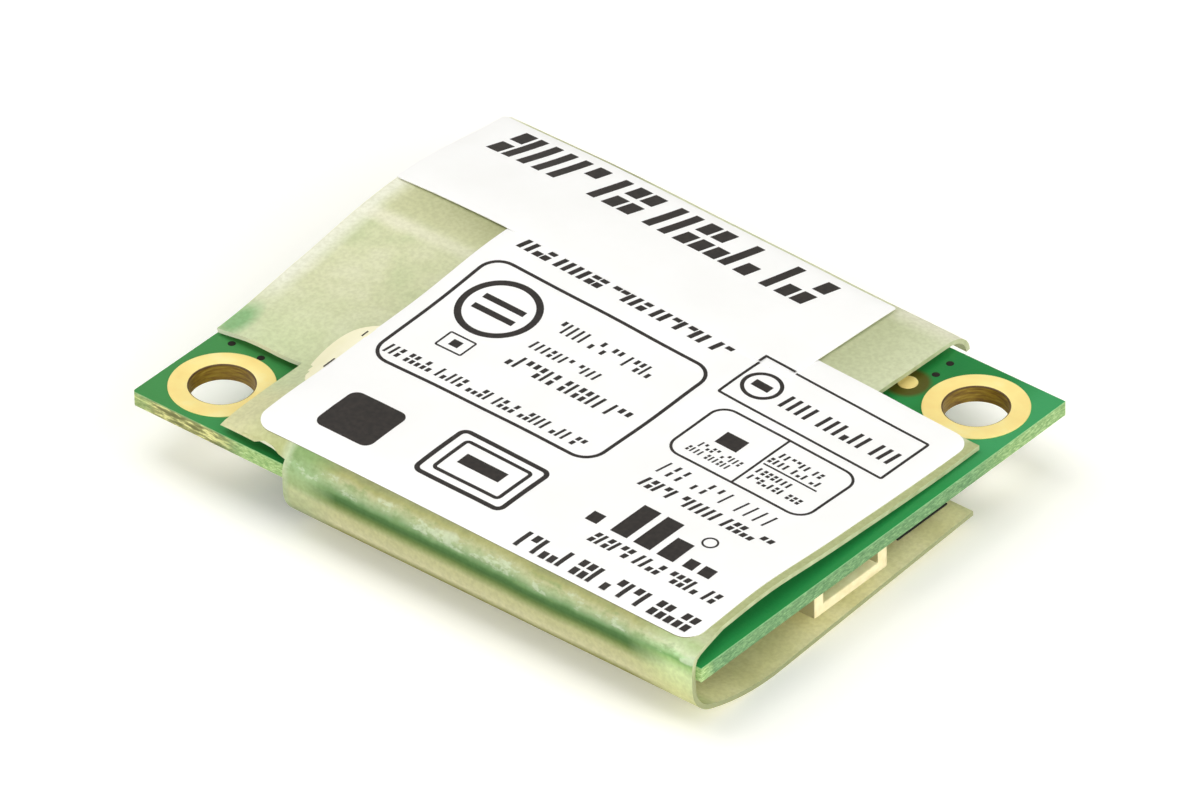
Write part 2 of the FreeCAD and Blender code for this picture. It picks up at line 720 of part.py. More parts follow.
def make_header_housing():
    body = new_body("HeaderHousing", *HEADER_PLACE)
    outer = new_sketch(body, "HeaderFront", "YZ_Plane")
    add_polygon(outer, rectangle("-header_width / 2", "-header_height", "header_width / 2", "0"))
    pad(body, outer, "HeaderPad", "header_length", back=True)
    cavity = new_sketch(body, "HeaderMouth", "YZ_Plane")
    side = "(header_width / 2 - header_cheek)"
    add_polygon(cavity, rectangle("-" + side, "header_floor - header_height", side, "0"))
    pocket(body, cavity, "HeaderCavity", "header_length - header_back")
    window = new_sketch(body, "LatchWindow", "XY_Plane", "-header_height")
    add_polygon(window, rectangle("-window_setback - window_length", "-window_width / 2",
                                  "-window_setback", "window_width / 2"))
    pocket(body, window, "LatchPocket", "header_floor", back=True)
    pins = new_sketch(body, "PinHoles", "YZ_Plane", "-header_length")
    for sign in ("-", ""):
        middle = f"{sign}(header_pitch / 2)"
        add_polygon(pins, rectangle(f"{middle} - pin_size / 2", "-pin_drop - pin_size / 2",
                                    f"{middle} + pin_size / 2", "-pin_drop + pin_size / 2"))
    pocket(body, pins, "PinHolePocket", "header_back", back=True)
    node(body, "line_header_housing")


def make_header_pins():
    body = new_body("HeaderPins", *HEADER_PLACE)
    low = "-pin_drop - pin_size / 2"
    high = "-pin_drop + pin_size / 2"
    bend = "-header_length - pin_gap"
    sketch = new_sketch(body, "PinSide", "XZ_Plane", "header_pitch / 2")
    add_polygon(sketch, [
        ("-pin_setback", low), ("-pin_setback", high), (bend, high), (bend, "0"),
        (bend + " - pin_size - pin_foot", "0"), (bend + " - pin_size - pin_foot", "-pin_size"),
        (bend + " - pin_size", "-pin_size"), (bend + " - pin_size", low)])
    first = pad(body, sketch, "PinPad", "pin_size", side="Symmetric")
    repeat(body, "PinPair", [first], [mirrored(body, "PinMirror", "XZ_Plane")])
    node(body, "line_header_pins")


def make_header_tabs():
    body = new_body("HeaderTabs", *HEADER_PLACE)
    sketch = new_sketch(body, "TabEnd", "YZ_Plane", "-tab_setback")
    wall = "header_width / 2"
    add_polygon(sketch, [
        (wall, "0"), (wall, "-tab_leg"), (wall + " + tab_thick", "-tab_leg"),
        (wall + " + tab_thick", "-tab_thick"), (wall + " + tab_thick + tab_foot", "-tab_thick"),
        (wall + " + tab_thick + tab_foot", "0")])
    first = pad(body, sketch, "TabPad", "tab_length", back=True)
    repeat(body, "TabPair", [first], [mirrored(body, "TabMirror", "XZ_Plane")])
    node(body, "line_header_tabs")


# Board-to-board socket: its local origin is its middle, on the card's underside


SOCKET_PLACE = on_card("socket")
SOCKET_SPAN = "(socket_pairs - 1) * socket_pitch"


def make_socket_housing():
    body = new_body("SocketHousing", *SOCKET_PLACE)
    outer = new_sketch(body, "SocketPlan", "XY_Plane")
    add_polygon(outer, centred("socket_length", "socket_width"))
    pad(body, outer, "SocketPad", "socket_height", back=True)
    round_upright_edges(body, "socket_wall / 2")
    slot = new_sketch(body, "SocketSlot", "XY_Plane", "-socket_height")
    add_polygon(slot, centred("socket_length - 2 * socket_wall", "socket_width - 2 * socket_wall"))
    add_polygon(slot, centred("tongue_length", "socket_width - 4 * socket_wall"))
    pocket(body, slot, "SocketCavity", "socket_height - socket_floor", back=True)
    tip = new_sketch(body, "TongueTip", "XY_Plane", "-socket_height")
    add_polygon(tip, centred("tongue_length", "socket_width - 4 * socket_wall"))
    pocket(body, tip, "TongueTrim", "tongue_setback", back=True)
    relief = new_sketch(body, "TailRelief", "XY_Plane")
    add_polygon(relief, centred("2 * socket_length", SOCKET_SPAN + " + 2 * contact_width"))
    pocket(body, relief, "TailPocket", "contact_thick")
    hole = new_sketch(body, "BladeHole", "XY_Plane", "-socket_floor")
    start = f"-({SOCKET_SPAN}) / 2"
    add_polygon(hole, rectangle("tongue_length / 2", start + " - contact_width / 2",
                                "tongue_length / 2 + contact_thick", start + " + contact_width / 2"))
    first = pocket(body, hole, "BladePocket", "socket_floor", back=True)
    repeat(body, "BladeHoles", [first], [
        linear(body, "BladeRow", "Y_Axis", SOCKET_SPAN, "socket_pairs"),
        mirrored(body, "BladeMirror", "YZ_Plane")])
    node(body, "board_connector_housing")


def make_socket_contacts():
    body = new_body("SocketContacts", *SOCKET_PLACE)
    sketch = new_sketch(body, "ContactSide", "XZ_Plane", f"({SOCKET_SPAN}) / 2")
    near = "tongue_length / 2"
    far = "socket_length / 2 + contact_foot"
    add_polygon(sketch, [
        (near, "0"), (far, "0"), (far, "-contact_thick"), (near + " + contact_thick", "-contact_thick"),
        (near + " + contact_thick", "-contact_reach"), (near, "-contact_reach")])
    first = pad(body, sketch, "ContactPad", "contact_width", side="Symmetric")
    repeat(body, "Contacts", [first], [
        linear(body, "ContactRow", "Y_Axis", SOCKET_SPAN, "socket_pairs"),
        mirrored(body, "ContactMirror", "YZ_Plane")])
    node(body, "board_connector_contacts")


# Moulded packages: the local origin of each is its middle, on the card's underside


def add_package(body, name, x, length, width, height):
    """A moulded block that narrows both ways from its parting line."""
    middle = f"({height} + package_gap) / 2"
    sketch = new_sketch(body, name + "Parting", "XY_Plane", "-" + middle)
    left, right = f"{x} - {length} / 2", f"{x} + {length} / 2"
    add_polygon(sketch, rectangle(left, f"-{width} / 2", right, f"{width} / 2"))
    block = pad(body, sketch, name + "Block", f"({height} - package_gap) / 2", side="Two sides")
    bind(block, "Length2", f"({height} - package_gap) / 2")
    for prop in ("TaperAngle", "TaperAngle2"):
        bind(block, prop, "-package_draft")
    return block


def make_package(label, at, length, width, height, dimple=False):
    name = "".join(word.title() for word in label.split("_"))
    body = new_body(name, *at)
    add_package(body, name, "0", length, width, height)
    if dimple:
        mark = new_sketch(body, name + "MarkPlan", "XY_Plane", "-" + height)
        add_circle(mark, f"dimple_inset - {length} / 2", f"{width} / 2 - dimple_inset",
                   "dimple_diam")
        pocket(body, mark, name + "Mark", "dimple_depth", back=True)
    node(body, label)


def gull_wing(side, reach, out, foot, height):
    """Side view of one bent lead, from the package's parting line down to the card."""
    middle = f"({height} + package_gap) / 2"
    inner = reach
    outer = f"{reach} + {out}"
    heel = f"{outer} - {foot}"
    points = [
        (outer, "0"), (outer, "-lead_thick"), (f"{heel} + lead_thick", "-lead_thick"),
        (f"{heel} + lead_thick - lead_slope", f"-{middle} - lead_thick / 2"),
        (inner, f"-{middle} - lead_thick / 2"), (inner, f"-{middle} + lead_thick / 2"),
        (f"{heel} - lead_slope", f"-{middle} + lead_thick / 2"), (heel, "0")]
    return [(f"{side}({x})", y) for x, y in points]


def add_leads(body, name, outline, width, pitch, count, more=()):
    """A row of leads along Y, then what more repeats it."""
    span = f"({count} - 1) * {pitch}"
    sketch = new_sketch(body, name + "Side", "XZ_Plane", f"({span}) / 2")
    add_polygon(sketch, outline)
    first = pad(body, sketch, name + "Pad", width, side="Symmetric")
    row = linear(body, name + "Row", "Y_Axis", span, count)
    repeat(body, name + "Leads", [first], [row, *more])


def add_lone_lead(body, name, outline, width):
    sketch = new_sketch(body, name + "Side", "XZ_Plane")
    add_polygon(sketch, outline)
    return pad(body, sketch, name + "Pad", width, side="Symmetric")


def turned(body):
    """Turn a body a quarter, so that its rows of leads run along X."""
    body.Placement.Rotation = Rotation(Vector(0, 0, 1), QUARTER_TURN)


def make_chips():
    modem = on_card("modem")
    make_package("modem_chip_body", modem, "modem_size", "modem_size", "modem_height", True)
    leads = new_body("ModemLeads", *modem)
    outline = gull_wing("", "modem_size / 2", "lead_out", "lead_foot", "modem_height")
    add_leads(leads, "Modem", outline, "fine_lead", "modem_pitch", "modem_leads",
              [polar(leads, "ModemSides", 4)])
    node(leads, "modem_chip_leads")

    line = on_card("line")
    make_package("line_chip_body", line, "line_length", "line_width", "line_height", True)
    leads = new_body("LineLeads", *line)
    outline = gull_wing("", "line_length / 2", "lead_out", "lead_foot", "line_height")
    add_leads(leads, "Line", outline, "chip_lead", "line_pitch", "line_leads",
              [polar(leads, "LineSides", 2)])
    node(leads, "line_chip_leads")


def make_bridge_rectifier():
    at = on_card("bridge")
    make_package("bridge_rectifier_body", at, "bridge_length", "bridge_width", "bridge_height")
    leads = new_body("BridgeLeads", *at)
    turned(leads)
    outline = gull_wing("", "bridge_width / 2", "lead_out", "lead_foot", "bridge_height")
    add_leads(leads, "Bridge", outline, "wide_lead", "bridge_pitch", "2",
              [polar(leads, "BridgeSides", 2)])
    node(leads, "bridge_rectifier_leads")


def make_surge_suppressor():
    at = on_card("surge")
    make_package("surge_suppressor_body", at, "surge_length", "surge_width", "surge_height")
    leads = new_body("SurgeLeads", *at)
    outline = gull_wing("", "surge_length / 2", "short_lead_out", "short_foot", "surge_height")
    first = add_lone_lead(leads, "Surge", outline, "surge_lead")
    repeat(leads, "SurgeEnds", [first], [polar(leads, "SurgeTurn", 2)])
    node(leads, "surge_suppressor_leads")


def make_line_transistor():
    at = on_card("power")
    make_package("line_transistor_body", at, "power_length", "power_width", "power_height")
    leads = new_body("PowerLeads", *at)
    turned(leads)
    out = ("short_lead_out", "short_foot", "power_height")
    add_leads(leads, "Power", gull_wing("-", "power_width / 2", *out), "wide_lead",
              "power_pitch", "3")
    add_lone_lead(leads, "PowerTab", gull_wing("", "power_width / 2", *out), "power_tab")
    node(leads, "line_transistor_leads")


def make_hook_switches():
    """Two small transistors side by side, each with two leads in front and one behind."""
    at = on_card("switch")
    body = new_body("SwitchBodies", *at)
    for name, x in (("SwitchOne", "0"), ("SwitchTwo", "switch_spacing")):
        add_package(body, name, x, "switch_length", "switch_width", "switch_height")
    node(body, "hook_switch_bodies")
    leads = new_body("SwitchLeads", *at)
    turned(leads)
    out = ("short_lead_out", "short_foot", "switch_height")
    for side, name, offsets in (("-", "SwitchPair", ("-switch_pitch / 2", "switch_pitch / 2")),
                                ("", "SwitchSingle", ("0",))):
        outline = gull_wing(side, "switch_width / 2", *out)
        for index, offset in enumerate(offsets):
            for which, extra in (("A", "0"), ("B", "switch_spacing")):
                sketch = new_sketch(leads, f"{name}{index}{which}Side", "XZ_Plane",
                                    f"{offset} + {extra}")
                add_polygon(sketch, outline)
                pad(leads, sketch, f"{name}{index}{which}Pad", "chip_lead", side="Symmetric")
    node(leads, "hook_switch_leads")


# Two-ended parts


def make_two_ended(label, ends_label, at, sizes, along="Y_Axis", spacing="0", count="1",
                   quarter=False):
    """A row of blocks, each between two metal ends, as one node of bodies and one of ends."""
    length, width, height = sizes
    end = f"{length} * end_share"
    name = "".join(word.title() for word in label.split("_"))
    inner = f"{length} / 2 - {end}"
    parts = ((label, name + "Block", [centred(f"2 * ({inner})", width)]),
             (ends_label, name + "End", [
                 rectangle(f"-{length} / 2", f"-{width} / 2", f"-({inner})", f"{width} / 2"),
                 rectangle(inner, f"-{width} / 2", f"{length} / 2", f"{width} / 2")]))
    for node_label, prefix, outlines in parts:
        body = new_body(prefix + "s", *at)
        if quarter:
            turned(body)
        sketch = new_sketch(body, prefix + "Plan", "XY_Plane")
        for outline in outlines:
            add_polygon(sketch, outline)
        first = pad(body, sketch, prefix + "Pad", height, back=True)
        if count != "1":
            row = linear(body, prefix + "Row", along, f"({count} - 1) * {spacing}", count)
            row.Reversed = quarter
            repeat(body, prefix + "Copies", [first], [row])
        node(body, node_label)


def make_two_ended_parts():
    make_two_ended("isolation_capacitor_bodies", "isolation_capacitor_ends",
                   on_card("isolation"),
                   ("isolation_length", "isolation_width", "isolation_height"),
                   spacing="isolation_spacing", count="2")
    make_two_ended("tantalum_capacitor_bodies", "tantalum_capacitor_ends",
                   on_card("tantalum"),
                   ("tantalum_length", "tantalum_width", "tantalum_height"),
                   spacing="tantalum_spacing", count="2")
    make_two_ended("fuse_body", "fuse_caps", on_card("fuse"),
                   ("fuse_length", "fuse_width", "fuse_height"))
    make_two_ended("ferrite_bead_bodies", "ferrite_bead_ends",
                   on_card("bead"),
                   ("bead_length", "bead_width", "bead_height"),
                   along="X_Axis", spacing="bead_spacing", count="2")
    make_two_ended("ceramic_capacitor_bodies", "ceramic_capacitor_ends",
                   on_card("capacitor"),
                   ("small_length", "small_width", "capacitor_height"),
                   spacing="capacitor_spacing", count="capacitor_count")
    make_two_ended("resistor_bodies", "resistor_ends",
                   (LEFT + " + hole_inset + ring_diam / 2 + resistor_clear",
                    FRONT + " + resistor_deep * board_width"),
                   ("small_length", "small_width", "resistor_height"),
                   spacing="resistor_spacing", count="resistor_count", quarter=True)


def make_crystal():
    at = on_card("crystal")
    base = new_body("CrystalBase", *at)
    plan = new_sketch(base, "CrystalBasePlan", "XY_Plane")
    add_polygon(plan, centred("crystal_length", "crystal_width"))
    pad(base, plan, "CrystalBasePad", "crystal_base", back=True)
    node(base, "crystal_base")
    lid = new_body("CrystalLid", *at)
    plan = new_sketch(lid, "CrystalLidPlan", "XY_Plane", "-crystal_base")
    add_polygon(plan, centred("crystal_length - 2 * crystal_rim", "crystal_width - 2 * crystal_rim"))
    pad(lid, plan, "CrystalLidPad", "crystal_lid", back=True)
    round_upright_edges(lid, "crystal_corner")
    node(lid, "crystal_lid")


make_board()
make_hole_plating("LeftPlating", "left_hole_plating", "-")
make_hole_plating("RightPlating", "right_hole_plating", "")
make_fiducials()
make_film()
make_labels()
make_header_housing()
make_header_pins()
make_header_tabs()
make_socket_housing()
make_socket_contacts()
make_chips()
make_bridge_rectifier()
make_surge_suppressor()
make_line_transistor()
make_hook_switches()
make_two_ended_parts()
make_crystal()
doc.recompute()

for item in doc.Objects:
    if "Invalid" in item.State or "Error" in item.State:
        raise RuntimeError(f"{item.Label}: {item.State}")
for item in NODES:
    if item.Shape.isNull() or not item.Shape.isValid() or item.Shape.Volume <= 0:
        raise RuntimeError(f"{item.Label} has no valid shape")

os.makedirs("parts", exist_ok=True)
for item in NODES:
    item.Shape.exportStep(f"parts/{item.Label}.step")
    box = item.Shape.BoundBox
    print(f"{item.Label}: {len(item.Shape.Solids)} solids, {item.Shape.Volume:.3f} mm3, "
          f"x {box.XMin:.2f} {box.XMax:.2f}, y {box.YMin:.2f} {box.YMax:.2f}, "
          f"z {box.ZMin:.2f} {box.ZMax:.2f}")
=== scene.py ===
# Laptop modem module on white paper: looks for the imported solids, in metres, in the part's frame.
import math
import random

import bmesh
import bpy
from mathutils import Matrix, Vector, noise


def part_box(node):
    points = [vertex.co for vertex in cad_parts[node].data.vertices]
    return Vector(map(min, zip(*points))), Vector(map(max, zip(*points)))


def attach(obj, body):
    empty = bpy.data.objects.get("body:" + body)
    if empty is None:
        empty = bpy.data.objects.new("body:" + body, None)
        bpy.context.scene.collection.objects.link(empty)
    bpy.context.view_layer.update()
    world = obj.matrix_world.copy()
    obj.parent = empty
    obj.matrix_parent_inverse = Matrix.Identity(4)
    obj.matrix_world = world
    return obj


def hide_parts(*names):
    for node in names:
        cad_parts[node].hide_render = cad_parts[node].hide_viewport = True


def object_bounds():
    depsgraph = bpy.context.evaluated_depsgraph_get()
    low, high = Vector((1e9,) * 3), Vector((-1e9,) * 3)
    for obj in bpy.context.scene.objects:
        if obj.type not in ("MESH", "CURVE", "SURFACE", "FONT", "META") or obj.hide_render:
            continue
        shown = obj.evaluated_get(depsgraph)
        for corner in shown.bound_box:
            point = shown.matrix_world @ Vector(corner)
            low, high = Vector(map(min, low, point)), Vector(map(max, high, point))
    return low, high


MM = 0.001

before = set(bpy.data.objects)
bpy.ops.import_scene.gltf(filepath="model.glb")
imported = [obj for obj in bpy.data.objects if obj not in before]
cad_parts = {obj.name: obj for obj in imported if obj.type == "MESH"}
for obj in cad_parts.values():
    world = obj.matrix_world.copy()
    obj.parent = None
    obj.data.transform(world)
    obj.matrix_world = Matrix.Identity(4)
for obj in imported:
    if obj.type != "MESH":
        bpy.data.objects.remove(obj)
CAD_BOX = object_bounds()
CARD_LOW, CARD_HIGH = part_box("circuit_board")
CARD_THICK = (CARD_HIGH.z - CARD_LOW.z) / MM

# Places on the card are in millimetres: along from its left edge, back from its front edge
# and up from its top face.

# Film
FILM_THICK = 0.25
FILM_GAP = 0.05
FILM_LEFT = 0.1
FILM_LIP = 0.12
FILM_LOWEST = 0.1
RIPPLE = 0.05
FILM_RIGHT = 34.35
FOLD_LEFT = 9.65
FOLD_RIGHT = 34.7
FOLD_RUN = 2.4
NOTCH = (5.5, 6.0)
NOTCH_FLARE = 0.25
NOTCH_SLACK = 0.1
TAB_RIGHT = 28.2
EAR_BACK = 21.3
CORNER_RADIUS = 0.8
CORNER_DROP = 0.2
SEAM_LEAN = 52.0
ROW_PITCH = 0.4
COLUMN_PITCH = 0.45

# By the left screw ear the film dips: how deep, and the places along and back where the dip
# starts, is full, starts to end and ends.
EDGE_DIP = 0.48
DIP_ALONG = (1.5, 5.2, 5.9, 7.2)
DIP_BACK = (-0.6, 0.9, 6.4, 9.5)
# Its front edge there: slant, height at the fold, fall towards the ear, reach back and tuck.
FLAP_SLANT = 0.08
FLAP_EDGE = 0.52
FLAP_FALL = 0.0135
FLAP_REACH = 0.43
FLAP_TUCK = 0.05

# Fold and tongue
FOLD_START = 0.4
FOLD_TURN = 70.0
FOLD_REACH = 5.6
UNDER_DEPTH = 2.8
UNDER_REACH = 20.4
UNDER_RISE = 0.8
BACK_RUN = 1.4
BACK_DROP = 1.0

# How high the film's inner face stands off the card at these depths, at four places along.
DEPTHS = [FILM_LIP, 0.5, 2.4, 6.0, 12.0, 19.0, 26.6]
RISES = {
    0.1: [0.29, 0.30, 0.15, 0.05, 0.85, 1.70, 0.95],
    7.12: [0.29, 0.80, 1.05, 1.10, 1.30, 1.75, 0.95],
    24.6: [0.29, 0.62, 0.85, 0.92, 0.78, 0.72, 0.34],
    34.7: [0.29, 0.40, 0.55, 0.68, 0.32, 0.06, 0.18],
}

# Labels as left, front, length, width and corner radius, the seal as along, back and radius
LABEL = (7.12, 0.5, 26.85, 20.8, 1.0)
STRIP = (0.12, 19.1, 24.48, 8.1, 0.2)
STICKER = (9.3, 7.1, 3.5)
LABEL_THICK = 0.1
STICKER_THICK = 0.05
# Print's thickness, the pressed edge's share of a label's, and the grids that let them bend
INK_LIFT = 0.012
PRESSED = 0.45
LABEL_CELL = 0.6
PRINT_CELL = 0.5

# Dots and vias on the card, as along and back
PAD_THICK = 0.05
DOT_RADIUS = 0.5
ALIGNMENT_DOT = (28.24, 23.52)
UNDER_DOTS = ((1.0, 23.5), (34.0, 20.5))
VIA_RADIUS = 0.2
VIA_THICK = 0.012
VIAS = ((1.13, 5.84), (2.99, 5.82), (28.83, 25.97), (28.87, 24.85))


def place(along, back, up):
    """A point in the frame, from millimetres on the card."""
    return Vector((CARD_LOW.x + along * MM, CARD_LOW.y + back * MM, CARD_HIGH.z + up * MM))


def through(stops, heights, at):
    """A smooth curve through heights at the stops."""
    last = len(stops) - 1
    i = next((k for k in range(last) if at <= stops[k + 1]), last - 1)

    def slope(k):
        """The curve's slope at a stop."""
        low, high = max(k - 1, 0), min(k + 1, last)
        return (heights[high] - heights[low]) / (stops[high] - stops[low])
    run = stops[i + 1] - stops[i]
    u = min(max((at - stops[i]) / run, 0), 1)
    return ((2 * u ** 3 - 3 * u ** 2 + 1) * heights[i] + (u ** 3 - 2 * u ** 2 + u) * run * slope(i)
            + (3 * u ** 2 - 2 * u ** 3) * heights[i + 1] + (u ** 3 - u ** 2) * run * slope(i + 1))


def ripple(along, back):
    """Small waves of a film that was folded by hand."""
    fade = min(1, max(0, (back - 0.5) / 2))
    return RIPPLE * fade * noise.noise(Vector((along / 4, back / 4, 0)))


def hump(at, start, full, last, end):
    """Nought outside a range and one inside it, with a smooth rise and fall."""
    rise = min(max((at - start) / (full - start), 0), 1)
    fall = min(max((end - at) / (end - last), 0), 1)
    return (rise * rise * (3 - 2 * rise)) * (fall * fall * (3 - 2 * fall))


def film_height(along, back):
    """The inner face of the film's top sheet above the card."""
    depth = min(back, DEPTHS[-1])
    heights = [through(DEPTHS, rises, depth) for rises in RISES.values()]
    height = through(list(RISES), heights, along) + ripple(along, depth)
    height -= EDGE_DIP * hump(along, *DIP_ALONG) * hump(depth, *DIP_BACK)
    height = max(height, FILM_LOWEST)
    if back > DEPTHS[-1]:
        turn = min((back - DEPTHS[-1]) / BACK_RUN, 1)
        height -= BACK_DROP * (1 - math.sqrt(1 - turn ** 2))
    return height


# Materials


def tone(code):
    """An sRGB hex colour as linear light."""
    parts = [int(code[i:i + 2], 16) / 255 for i in (0, 2, 4)]
    return tuple(c / 12.92 if c <= 0.04045 else ((c + 0.055) / 1.055) ** 2.4
                 for c in parts) + (1.0,)


def add(tree, kind, inputs=None, **settings):
    """Add a node, set it up and fill or link its inputs."""
    item = tree.nodes.new(kind)
    for name, setting in settings.items():
        setattr(item, name, setting)
    for name, source in (inputs or {}).items():
        if isinstance(source, bpy.types.NodeSocket):
            tree.links.new(source, item.inputs[name])
        else:
            item.inputs[name].default_value = source
    return item


def per(size_mm):
    """The pattern scale that gives features of a size in millimetres."""
    return 1 / (size_mm * MM)


def bare_tree(owner):
    """The emptied node tree of a material or a world."""
    owner.use_nodes = True
    owner.node_tree.nodes.clear()
    return owner.node_tree


def new_material(name, **shader):
    """A material with one shader, its output, and the piece's own coordinates."""
    material = bpy.data.materials.new(name)
    tree = bare_tree(material)
    surface = add(tree, "ShaderNodeBsdfPrincipled",
                  {key.replace("_", " "): setting for key, setting in shader.items()})
    add(tree, "ShaderNodeOutputMaterial", {"Surface": surface.outputs[0]})
    where = add(tree, "ShaderNodeTexCoord").outputs["Object"]
    return material, tree, surface, where


def stretched(tree, where, x=1.0, y=1.0, z=1.0):
    """Coordinates scaled by axis, so that a pattern is drawn out along the smaller ones."""
    return add(tree, "ShaderNodeMapping", {"Vector": where, "Scale": (x, y, z)}).outputs[0]


def grain(tree, where, size, detail=3.0, roughness=0.5):
    """Noise whose features have a size in millimetres."""
    return add(tree, "ShaderNodeTexNoise", {
        "Vector": where, "Scale": per(size), "Detail": detail,
        "Roughness": roughness}).outputs["Fac"]


def ramp(tree, factor, *stops):
    """Colours along a factor, as pairs of place and sRGB hex."""
    item = add(tree, "ShaderNodeValToRGB", {"Fac": factor})
    line = item.color_ramp.elements
    for end in (0, -1):
        line[end].position, line[end].color = stops[end][0], tone(stops[end][1])
    for spot, code in stops[1:-1]:
        line.new(spot).color = tone(code)
    return item.outputs[0]


def mixed(tree, factor, low, high, blend="MIX"):
    """Two colours mixed by a factor."""
    return add(tree, "ShaderNodeMix", {0: factor, 6: low, 7: high}, data_type="RGBA",
               blend_type=blend).outputs[2]


def worked(tree, kind, first, second=0.0, third=0.0):
    """Arithmetic on up to three values."""
    return add(tree, "ShaderNodeMath", {0: first, 1: second, 2: third},
               operation=kind).outputs[0]


def both(tree, one, other):
    """A share where two shares meet, or one share weakened."""
    return worked(tree, "MULTIPLY", one, other)


def tinted(tree, colour, code, share, amount=1.0):
    """A colour turned towards a named one where a share is above nought."""
    if amount < 1:
        share = both(tree, share, amount)
    return mixed(tree, share, colour, tone(code))


def axes(tree, where):
    """The x, y and z of a vector."""
    return add(tree, "ShaderNodeSeparateXYZ", {"Vector": where}).outputs


def facing(tree):
    """The x, y and z of the way a face looks."""
    return axes(tree, add(tree, "ShaderNodeNewGeometry").outputs["True Normal"])


def away_from(tree, where, spot):
    """The distance from a point, in metres."""
    return add(tree, "ShaderNodeVectorMath", {0: where, 1: spot},
               operation="DISTANCE").outputs["Value"]


def step(tree, value, start, end):
    """From nought to one between two values."""
    return add(tree, "ShaderNodeMapRange", {
        "Value": value, "From Min": start, "From Max": end,
        "To Min": 0.0, "To Max": 1.0}).outputs[0]


def band(tree, value, middle, half, soft):
    """One inside a band of values and nought outside it, with soft edges, in metres."""
    away = worked(tree, "ABSOLUTE", worked(tree, "SUBTRACT", value, middle))
    return step(tree, away, half + soft, half)


def along_step(tree, x, start, end):
    """From nought to one between two places along the card, in millimetres."""
    return step(tree, x, CARD_LOW.x + start * MM, CARD_LOW.x + end * MM)


def back_step(tree, y, start, end):
    """From nought to one between two places back from the card's front edge."""
    return step(tree, y, CARD_LOW.y + start * MM, CARD_LOW.y + end * MM)


def blended(tree, share, one, other):
    """Two shaders mixed by a share."""
    return add(tree, "ShaderNodeMixShader", {0: share, 1: one.outputs[0], 2: other.outputs[0]})


def coloured(tree, surface, colour):
    """Give a surface its colour."""
    tree.links.new(colour, surface.inputs["Base Color"])


def bumped(tree, surface, height, depth_mm, strength=1.0):
    """Raise a surface by a height pattern, to a depth in millimetres."""
    bump = add(tree, "ShaderNodeBump", {
        "Height": height, "Distance": depth_mm * MM, "Strength": strength})
    tree.links.new(bump.outputs[0], surface.inputs["Normal"])


def fr4_card():
    """Glass-epoxy laminate under glossy green solder mask. The mask shows level faces green;
    the sawn edge shows pale resin with bright cut glass fibres, and the broken-out tabs of the
    front edge show olive glass with straw-coloured chips."""
    material, tree, surface, where = new_material("fr4_laminate", Roughness=0.3, IOR=1.5,
                                                  Specular_IOR_Level=0.22)
    x, y, z = axes(tree, where)
    level = step(tree, worked(tree, "ABSOLUTE", facing(tree)[2]), 0.6, 0.8)

    # Mask: paler by the left ear and at the back right corner, bare round the alignment dot
    mask = ramp(tree, grain(tree, where, 5.0, 2.0), (0.3, "1C7A3C"), (0.5, "24843F"),
                (0.72, "2D9350"))
    mask = tinted(tree, mask, "4C9150", along_step(tree, x, 9, 2), 0.75)
    bare = away_from(tree, where, place(*ALIGNMENT_DOT, 0))
    mask = tinted(tree, mask, "54541C", step(tree, bare, 1.25 * MM, 0.95 * MM))
    # Painted light: the mask is drawn lighter near the film's right edge, against the shade the
    # film throws there.
    painted_light_near_film = both(tree, along_step(tree, x, 32.6, 33.7), back_step(tree, y, 22, 18))
    mask = tinted(tree, mask, "28904A", painted_light_near_film)
    back_right = both(tree, along_step(tree, x, 31.5, 34), back_step(tree, y, 18, 22))
    mask = tinted(tree, mask, "42A264", back_right, 0.8)

    # Sawn edge: glass fibres, chips on the left ear's front edge, pale burr elsewhere
    fibre = grain(tree, stretched(tree, where, 1.0, 1.0, 4.0), 0.32, 4.0, 0.75)
    edge = ramp(tree, fibre, (0.36, "5A8656"), (0.5, "6E9868"), (0.66, "98C088"))
    streaks = grain(tree, stretched(tree, where, 0.3, 1.0, 1.4), 0.28, 3.0, 0.6)
    chips = ramp(tree, streaks, (0.42, "76794A"), (0.54, "A0A267"), (0.62, "E6E49C"))
    front_edge = back_step(tree, y, 1, 0.2)
    edge = mixed(tree, both(tree, along_step(tree, x, 7.5, 5), front_edge), edge, chips)
    burr = ramp(tree, fibre, (0.36, "86AE68"), (0.5, "AACB80"), (0.66, "DCEEB0"))
    bright_front = both(tree, along_step(tree, x, 6, 7), front_edge)
    edge = mixed(tree, both(tree, bright_front, 0.8), edge, burr)
    ends = worked(tree, "MAXIMUM", along_step(tree, x, 1.4, 0.8), back_step(tree, y, 20, 23))
    edge = mixed(tree, both(tree, ends, 0.5), edge, burr)
    # A painted highlight along the top line of the sawn edge.
    upper = step(tree, z, CARD_HIGH.z - 0.1 * MM, CARD_HIGH.z - 0.02 * MM)
    edge = tinted(tree, edge, "92CC90", upper, 0.55)

    coloured(tree, surface, mixed(tree, level, edge, mask))
    tree.links.new(worked(tree, "MULTIPLY_ADD", level, -0.3, 0.6), surface.inputs["Roughness"])
    bumped(tree, surface, grain(tree, where, 0.12), 0.012, 0.5)
    return material


def barrel_gold():
    """The plated wall of a drilled hole: rough and dark because it faces the shade."""
    material, tree, surface, where = new_material("drilled_barrel", Metallic=0.25, Roughness=0.5)
    rings = grain(tree, stretched(tree, where, 1.0, 1.0, 6.0), 0.7)
    colour = ramp(tree, rings, (0.3, "6A4A16"), (0.55, "93761C"), (0.75, "B0983A"))
    mouth = step(tree, axes(tree, where)[2], CARD_HIGH.z - 0.05 * MM, CARD_HIGH.z)
    colour = tinted(tree, colour, "4A3222", mouth, 0.8)
    coloured(tree, surface, colour)
    bumped(tree, surface, rings, 0.02, 0.5)
    return material


